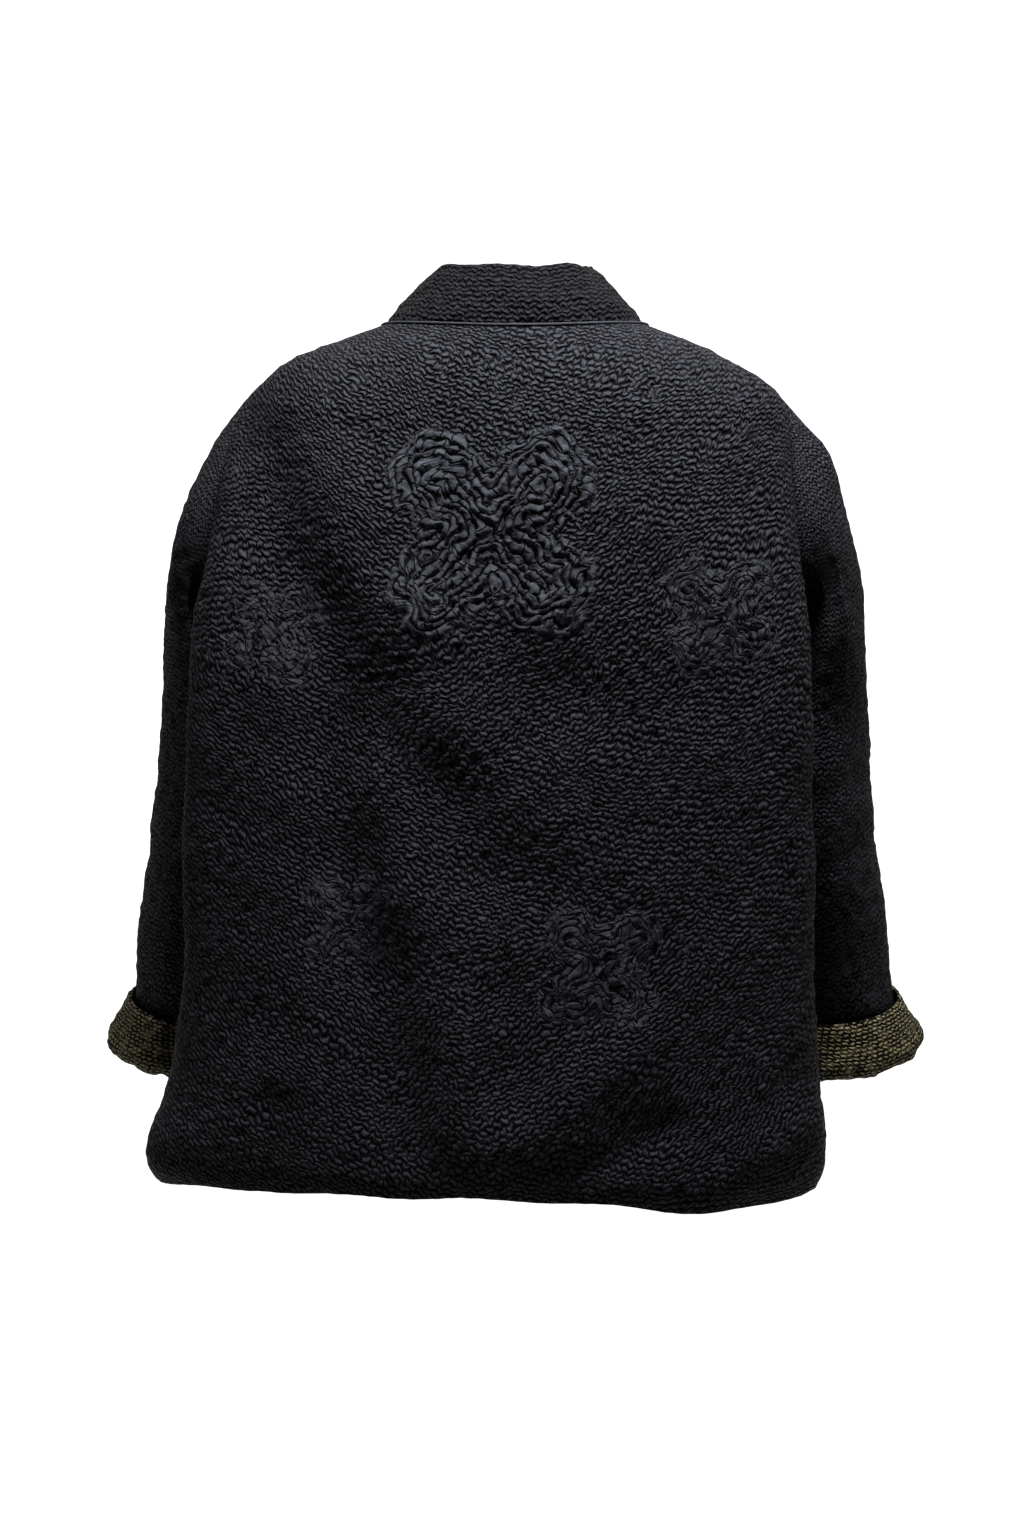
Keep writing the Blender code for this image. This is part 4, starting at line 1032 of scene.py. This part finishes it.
def makeSleeve(word, side, back, front):
    values = sleeveValues
    count = values["around"]
    half = count // 2
    loop, facing = (armholeLoop(back[k], front[k], side, count) for k in (0, 1))
    tangent = np.roll(loop, -1, axis=0) - np.roll(loop, 1, axis=0)
    facing = unit(facing)
    into = unit(np.cross(tangent, facing))
    into *= np.sign(((loop.mean(axis=0) - loop) * into).sum())
    start = loop + into * jacket["seamGap"]
    turns = math.pi * np.concatenate((np.arange(half) / half, 1 + np.arange(count - half) / half))
    rings = [sleeveRing(row, sleeveAxis(i, side), turns, side) for i, row in enumerate(sleeveRows)]
    topShare = np.clip(np.cos(turns), 0, 1)[:, None] ** 2
    lowShare = np.sqrt(np.clip(-2 * np.cos(turns), 0, 1))[:, None]
    down = values["capDown"] + (values["tipDown"] - values["capDown"]) * topShare
    down = down - values["capDown"] * lowShare
    closing = unit(start.mean(axis=0) - start) * values["underarmClosing"] * lowShare
    leave = unit(facing * values["capOutward"] + np.array((0, 0, -1.0)) * down + closing)
    run = np.linalg.norm(rings[0] - start, axis=1, keepdims=True)
    handle = run * (values["capHandle"] + (values["tipHandle"] - values["capHandle"]) * topShare)
    first, second = start + leave * handle, rings[0] - sleeveAxis(0, side) * handle
    cap = []
    for t in np.linspace(0, 1, values["capRows"] + 1)[:-1]:
        nearStart = (1 - t) ** 3 * start + 3 * t * (1 - t) ** 2 * first
        cap.append(nearStart + 3 * t**2 * (1 - t) * second + t**3 * rings[0])
    plain = smoothRows(np.array(cap + rings), values["spacing"])
    plain = plain + outward(plain, True) * faded(foldHeight("sleeve", plain), "sleeve")[..., None]
    lift = faded(clothSwell(plain, 41 + side), "sleeve") - seamDip(plain, ("low",))
    places, marks = clothPlaces(plain, 0, True), clothMarks(plain, values["tilt"])
    makeCloth("sleeve_" + word, plain, outward(plain, True), lift, places, marks)
    return turns


# The turned-up cuff's middle line: steps out from the sleeve's wall and along its axis.
cuffTurns = (
    (-0.0014, 0.0003),
    (-0.0006, 0.0120),
    (0.0006, 0.0190),
    (0.0042, 0.0240),
    (0.0100, 0.0262),
    (0.0156, 0.0240),
    (0.0178, 0.0180),
    (0.0136, 0.0070),
    (0.0088, -0.0040),
    (0.0042, -0.0150),
)
cuffValues = {
    "spacing": 0.0016,
    "tilt": 0.1,
    "swellSize": 0.030,
    "swell": 0.0007,
    "puckerSize": 0.009,
    "puckerSwell": 0.0004,
    "seamTurn left": 73.0,
    "seamTurn right": 165.0,
    "seamDip": 0.0016,
    "seamHalf": 0.0026,
    "seamDark": 0.80,
    "rimLight": 0.45,
    "rimReach": 0.0055,
}


def makeCuff(word, side, turns):
    values = cuffValues
    middle = np.array([(out, onward, 0.0) for out, onward in cuffTurns])[:, None]
    last = sleeveRows[-1]
    axis = sleeveAxis(len(sleeveRows) - 1, side)
    rings = []
    for out, onward in smoothRows(middle, values["spacing"])[:, 0, :2]:
        wider = last._replace(halfX=last.halfX + out, halfY=last.halfY + out)
        rings.append(sleeveRing(wider, axis, turns, side) + axis * onward)
    centreLine = np.array(rings)
    facing = outward(centreLine, True)
    if (facing[-1] * unit(centreLine[-1] - centreLine.mean(axis=(0, 1)))).sum() < 0:
        facing = -facing
    plain = centreLine + facing * jacket["wall"] / 2
    fromSeam = (turns - math.radians(values["seamTurn " + word])) * last.halfX
    nearSeam = np.exp(-((fromSeam / values["seamHalf"]) ** 2))[None, :]
    lift = clothSwell(plain, 51 + side, values) - values["seamDip"] * nearSeam
    places, marks = clothPlaces(plain, 0, True), clothMarks(plain, values["tilt"])
    fromRim = places[:, : len(turns), 1]
    marks[..., 2] = values["rimLight"] * np.exp(-((fromRim / values["rimReach"]) ** 2))
    marks[..., 2] -= values["seamDark"] * nearSeam
    makeCloth("cuff_" + word, plain, facing, lift, places, marks)


collarValues = {
    "spacing": 0.0020,
    "topHalf": 0.0575,
    "topX": -0.0012,
    "topBackY": 0.055,
    "topFrontY": -0.052,
    "topZBack": 0.035,
    "topZSide": 0.040,
    "topZFront": -0.020,
    "bulge": 0.0022,
    "wave": 0.0007,
    "waves": 7,
    "rows": 5,
    "tilt": 0.2,
    "swellSize": 0.040,
    "swell": 0.0007,
    "puckerSize": 0.009,
    "puckerSwell": 0.0004,
}


def makeCollar(panels):
    values = collarValues
    left, back, right = (panels[name][0] for name in ("front_left", "back", "front_right"))
    lines = [np.concatenate((left[k, :-1], back[k, ::-1], right[k, -2::-1])) for k in (-1, -3)]
    length = pathLengths(lines[0])
    wanted = np.linspace(0, length[-1], round(length[-1] / values["spacing"]) + 1)
    line, below = (spread(wanted, length, part) for part in lines)
    base = line + unit(line - below) * jacket["seamGap"]
    turns = math.pi * (1 - 2 * wanted / length[-1])
    across, away = np.sin(turns), np.cos(turns)
    behind = away > 0
    topY = np.where(behind, values["topBackY"], -values["topFrontY"]) * away
    lowZ = np.where(behind, values["topZBack"], values["topZFront"])
    wave = values["wave"] * np.sin(turns * values["waves"])
    topZ = values["topZSide"] * across**2 + lowZ * away**2 + wave
    top = np.stack((values["topX"] + values["topHalf"] * across, topY, topZ), -1)
    top[0, 0], top[-1, 0] = jacket["frontOpening"] / 2, -jacket["frontOpening"] / 2
    shares = np.linspace(0, 1, values["rows"] + 1)
    coarse = np.array([base + (top - base) * share for share in shares])
    swell = np.sin(math.pi * shares)[:, None, None]
    swollen = coarse + outward(coarse) * values["bulge"] * swell
    swollen[:, (0, -1), 0] = coarse[:, (0, -1), 0]
    plain = smoothRows(swollen, values["spacing"])
    lift = clothSwell(plain, 61, values) - seamDip(plain, ("low",))
    places, marks = clothPlaces(plain, len(wanted) // 2), clothMarks(plain, values["tilt"])
    makeCloth("collar", plain, outward(plain), lift, places, marks)


# A narrow rolled edge below the collar, swept along the neckline by Geometry Nodes.
neckStrip = {
    "below": 0.0030,
    "lift": 0.0003,
    "radius": 0.0013,
    "spacing": 0.0030,
    "sides": 10,
    "rowsDown": 4,
}


def sweepTree():
    tree = bpy.data.node_groups.new("rolled_edge", "GeometryNodeTree")
    kinds = {"Geometry": "Geometry", "Radius": "Float", "Spacing": "Float", "Sides": "Int"}
    for title, kind in (*kinds.items(), ("Cloth", "Material")):
        tree.interface.new_socket(title, in_out="INPUT", socket_type="NodeSocket" + kind)
    tree.interface.new_socket("Geometry", in_out="OUTPUT", socket_type="NodeSocketGeometry")
    given = node(tree, "NodeGroupInput").outputs
    path = node(tree, "GeometryNodeMeshToCurve", None, Mesh=given["Geometry"]).outputs[0]
    even = node(tree, "GeometryNodeResampleCurve", {"mode": "LENGTH"}, Curve=path, Length=given["Spacing"])
    size = {"Resolution": given["Sides"], "Radius": given["Radius"]}
    ring = node(tree, "GeometryNodeCurvePrimitiveCircle", None, **size)
    swept = node(tree, "GeometryNodeCurveToMesh", None, Curve=even.outputs[0], n1=ring.outputs[0])
    swept.inputs["Fill Caps"].default_value = True
    whole = node(tree, "GeometryNodeRealizeInstances", None, Geometry=swept.outputs[0]).outputs[0]
    clothed = node(tree, "GeometryNodeSetMaterial", None, Geometry=whole, Material=given["Cloth"])
    node(tree, "NodeGroupOutput", None, Geometry=clothed.outputs[0])
    return tree


def makeNeckStrip(panels):
    values = neckStrip
    start = -values["rowsDown"]
    edges = []
    for name, step in (("front_left", 1), ("back", -1), ("front_right", -1)):
        plain, facing = (part[:, ::step] for part in panels[name])
        share = (values["below"] / gaps(plain[start:], 0).sum(axis=0))[:, None]
        line = plain[-1] + (plain[start] - plain[-1]) * share
        edges.append(line + facing[-2] * values["lift"])
    path = np.concatenate((edges[0][:-1], edges[1], edges[2][1:]))
    wire = bpy.data.meshes.new("neck_edge_path")
    wire.from_pydata(path.tolist(), [(k, k + 1) for k in range(len(path) - 1)], [])
    carrier = linked("neck_edge_path", wire)
    tree = sweepTree()
    sweep = carrier.modifiers.new("sweep", "NODES")
    sweep.node_group = tree
    wanted = {"Radius": values["radius"], "Spacing": values["spacing"]}
    wanted.update({"Sides": values["sides"], "Cloth": cloths["edge"]})
    for socket in tree.interface.items_tree:
        if socket.in_out == "INPUT" and socket.name in wanted:
            sweep[socket.identifier] = wanted[socket.name]
    bpy.context.view_layer.update()
    evaluated = carrier.evaluated_get(bpy.context.evaluated_depsgraph_get())
    mesh = bpy.data.meshes.new_from_object(evaluated)
    mesh.name = "neck_edge"
    mesh.shade_smooth()
    bpy.data.objects.remove(carrier)
    piece = linked("neck_edge", mesh)
    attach(piece, "root")


panels = {"back": makeBack()}
for word, side in (("left", 1), ("right", -1)):
    panels["front_" + word] = makeFront(word, side)
    turns = makeSleeve(word, side, panels["back"], panels["front_" + word])
    makeCuff(word, side, turns)
makeCollar(panels)
makeNeckStrip(panels)
print("jacket made")

# A pale floor that sweeps up into a backdrop, and soft light from above.
studio = {
    "floor": -0.95,
    "wall": -7.0,
    "top": 5.0,
    "bend": 0.7,
    "bendSteps": 12,
    "halfWidth": 6.0,
    "front": 4.0,
    "paper": (0.92, 0.92, 0.92),
    "paperRough": 0.9,
    "grain": 0.15,
    "grainShade": 0.985,
    "glow": 0.9,
    "glowFrom": 0.02,
    "glowFull": -0.12,
    "grey": 0.40,
    "greyFull": 0.35,
    "world": 0.009,
    "worldColour": (0.95, 0.97, 1.0, 1),
}
keyLight = {
    "place": (-0.10, 0.37, 0.74),
    "target": (0, 0.10, -0.15),
    "size": (0.55, 0.22),
    "power": 9.7,
    "spread": 95.0,
}
fillLight = {
    "place": (0.6, 3.2, 0.3),
    "target": (0, 0, -0.4),
    "size": (2.2, 2.2),
    "power": 0.16,
    "spread": 180.0,
}


# Pale paper that glows behind the jacket alone, so that the floor below throws little light up.
def paper(name):
    made, tree, shader = newMaterial(name)
    colour, shade, grey = (
        tuple(share * part for part in studio["paper"]) + (1,)
        for share in (1.0, studio["grainShade"], studio["grey"])
    )
    place = node(tree, "ShaderNodeTexCoord").outputs["Object"]
    away = separated(tree, place)[1]
    tint = mixColours(tree, noise(tree, place, studio["grain"], 3.0), colour, shade)
    tint = mixColours(tree, remap(tree, away, studio["glowFull"], studio["greyFull"]), tint, grey)
    glow = remap(tree, away, studio["glowFull"], studio["glowFrom"], studio["glow"], 0.0)
    tree.links.new(tint, shader.inputs["Base Color"])
    tree.links.new(glow, shader.inputs["Emission Strength"])
    shader.inputs["Roughness"].default_value = studio["paperRough"]
    shader.inputs["Emission Color"].default_value = (1, 1, 1, 1)
    return made


def makeStudio():
    profile = [(studio["front"], studio["floor"])]
    for k in range(studio["bendSteps"] + 1):
        angle = math.pi / 2 * k / studio["bendSteps"]
        away = studio["wall"] + studio["bend"] * (1 - math.sin(angle))
        profile.append((away, studio["floor"] + studio["bend"] * (1 - math.cos(angle))))
    profile.append((studio["wall"], studio["top"]))
    vertices = [(x, y, z) for y, z in profile for x in (-studio["halfWidth"], studio["halfWidth"])]
    faces = [(2 * k, 2 * k + 1, 2 * k + 3, 2 * k + 2) for k in range(len(profile) - 1)]
    mesh = bpy.data.meshes.new("backdrop")
    mesh.from_pydata(vertices, [], faces)
    mesh.shade_smooth()
    mesh.materials.append(paper("pale_paper"))
    linked("backdrop", mesh)


def areaLight(name, values):
    light = bpy.data.lights.new(name, "AREA")
    light.spread = math.radians(values["spread"])
    light.shape = "RECTANGLE"
    light.size, light.size_y = values["size"]
    light.energy = values["power"]
    made = linked(name, light)
    made.location = values["place"]
    x, y, z = np.array(values["target"]) - np.array(values["place"])
    made.rotation_euler = (math.atan2(math.hypot(x, y), -z), 0, math.atan2(y, x) - math.pi / 2)


makeStudio()
areaLight("key", keyLight)
areaLight("fill", fillLight)
world = bpy.data.worlds.new("soft_daylight")
world.use_nodes = True
background = world.node_tree.nodes["Background"].inputs
background["Color"].default_value = studio["worldColour"]
background["Strength"].default_value = studio["world"]
bpy.context.scene.world = world
bpy.context.scene.view_settings.view_transform = "Standard"

# The camera of the photograph: level, three metres behind the jacket.
view = {
    "place": (0, 3.0, -0.342),
    "turn": (math.pi / 2, 0, math.pi),
    "lens": 92.0,
    "sensor": 36.0,
    "shift": -3 / 1536,
}
camera = bpy.data.cameras.new("camera")
camera.lens = view["lens"]
camera.sensor_width = view["sensor"]
camera.shift_x = view["shift"]
viewer = linked("camera", camera)
viewer.location = view["place"]
viewer.rotation_euler = view["turn"]
bpy.context.scene.camera = viewer
print("studio made")
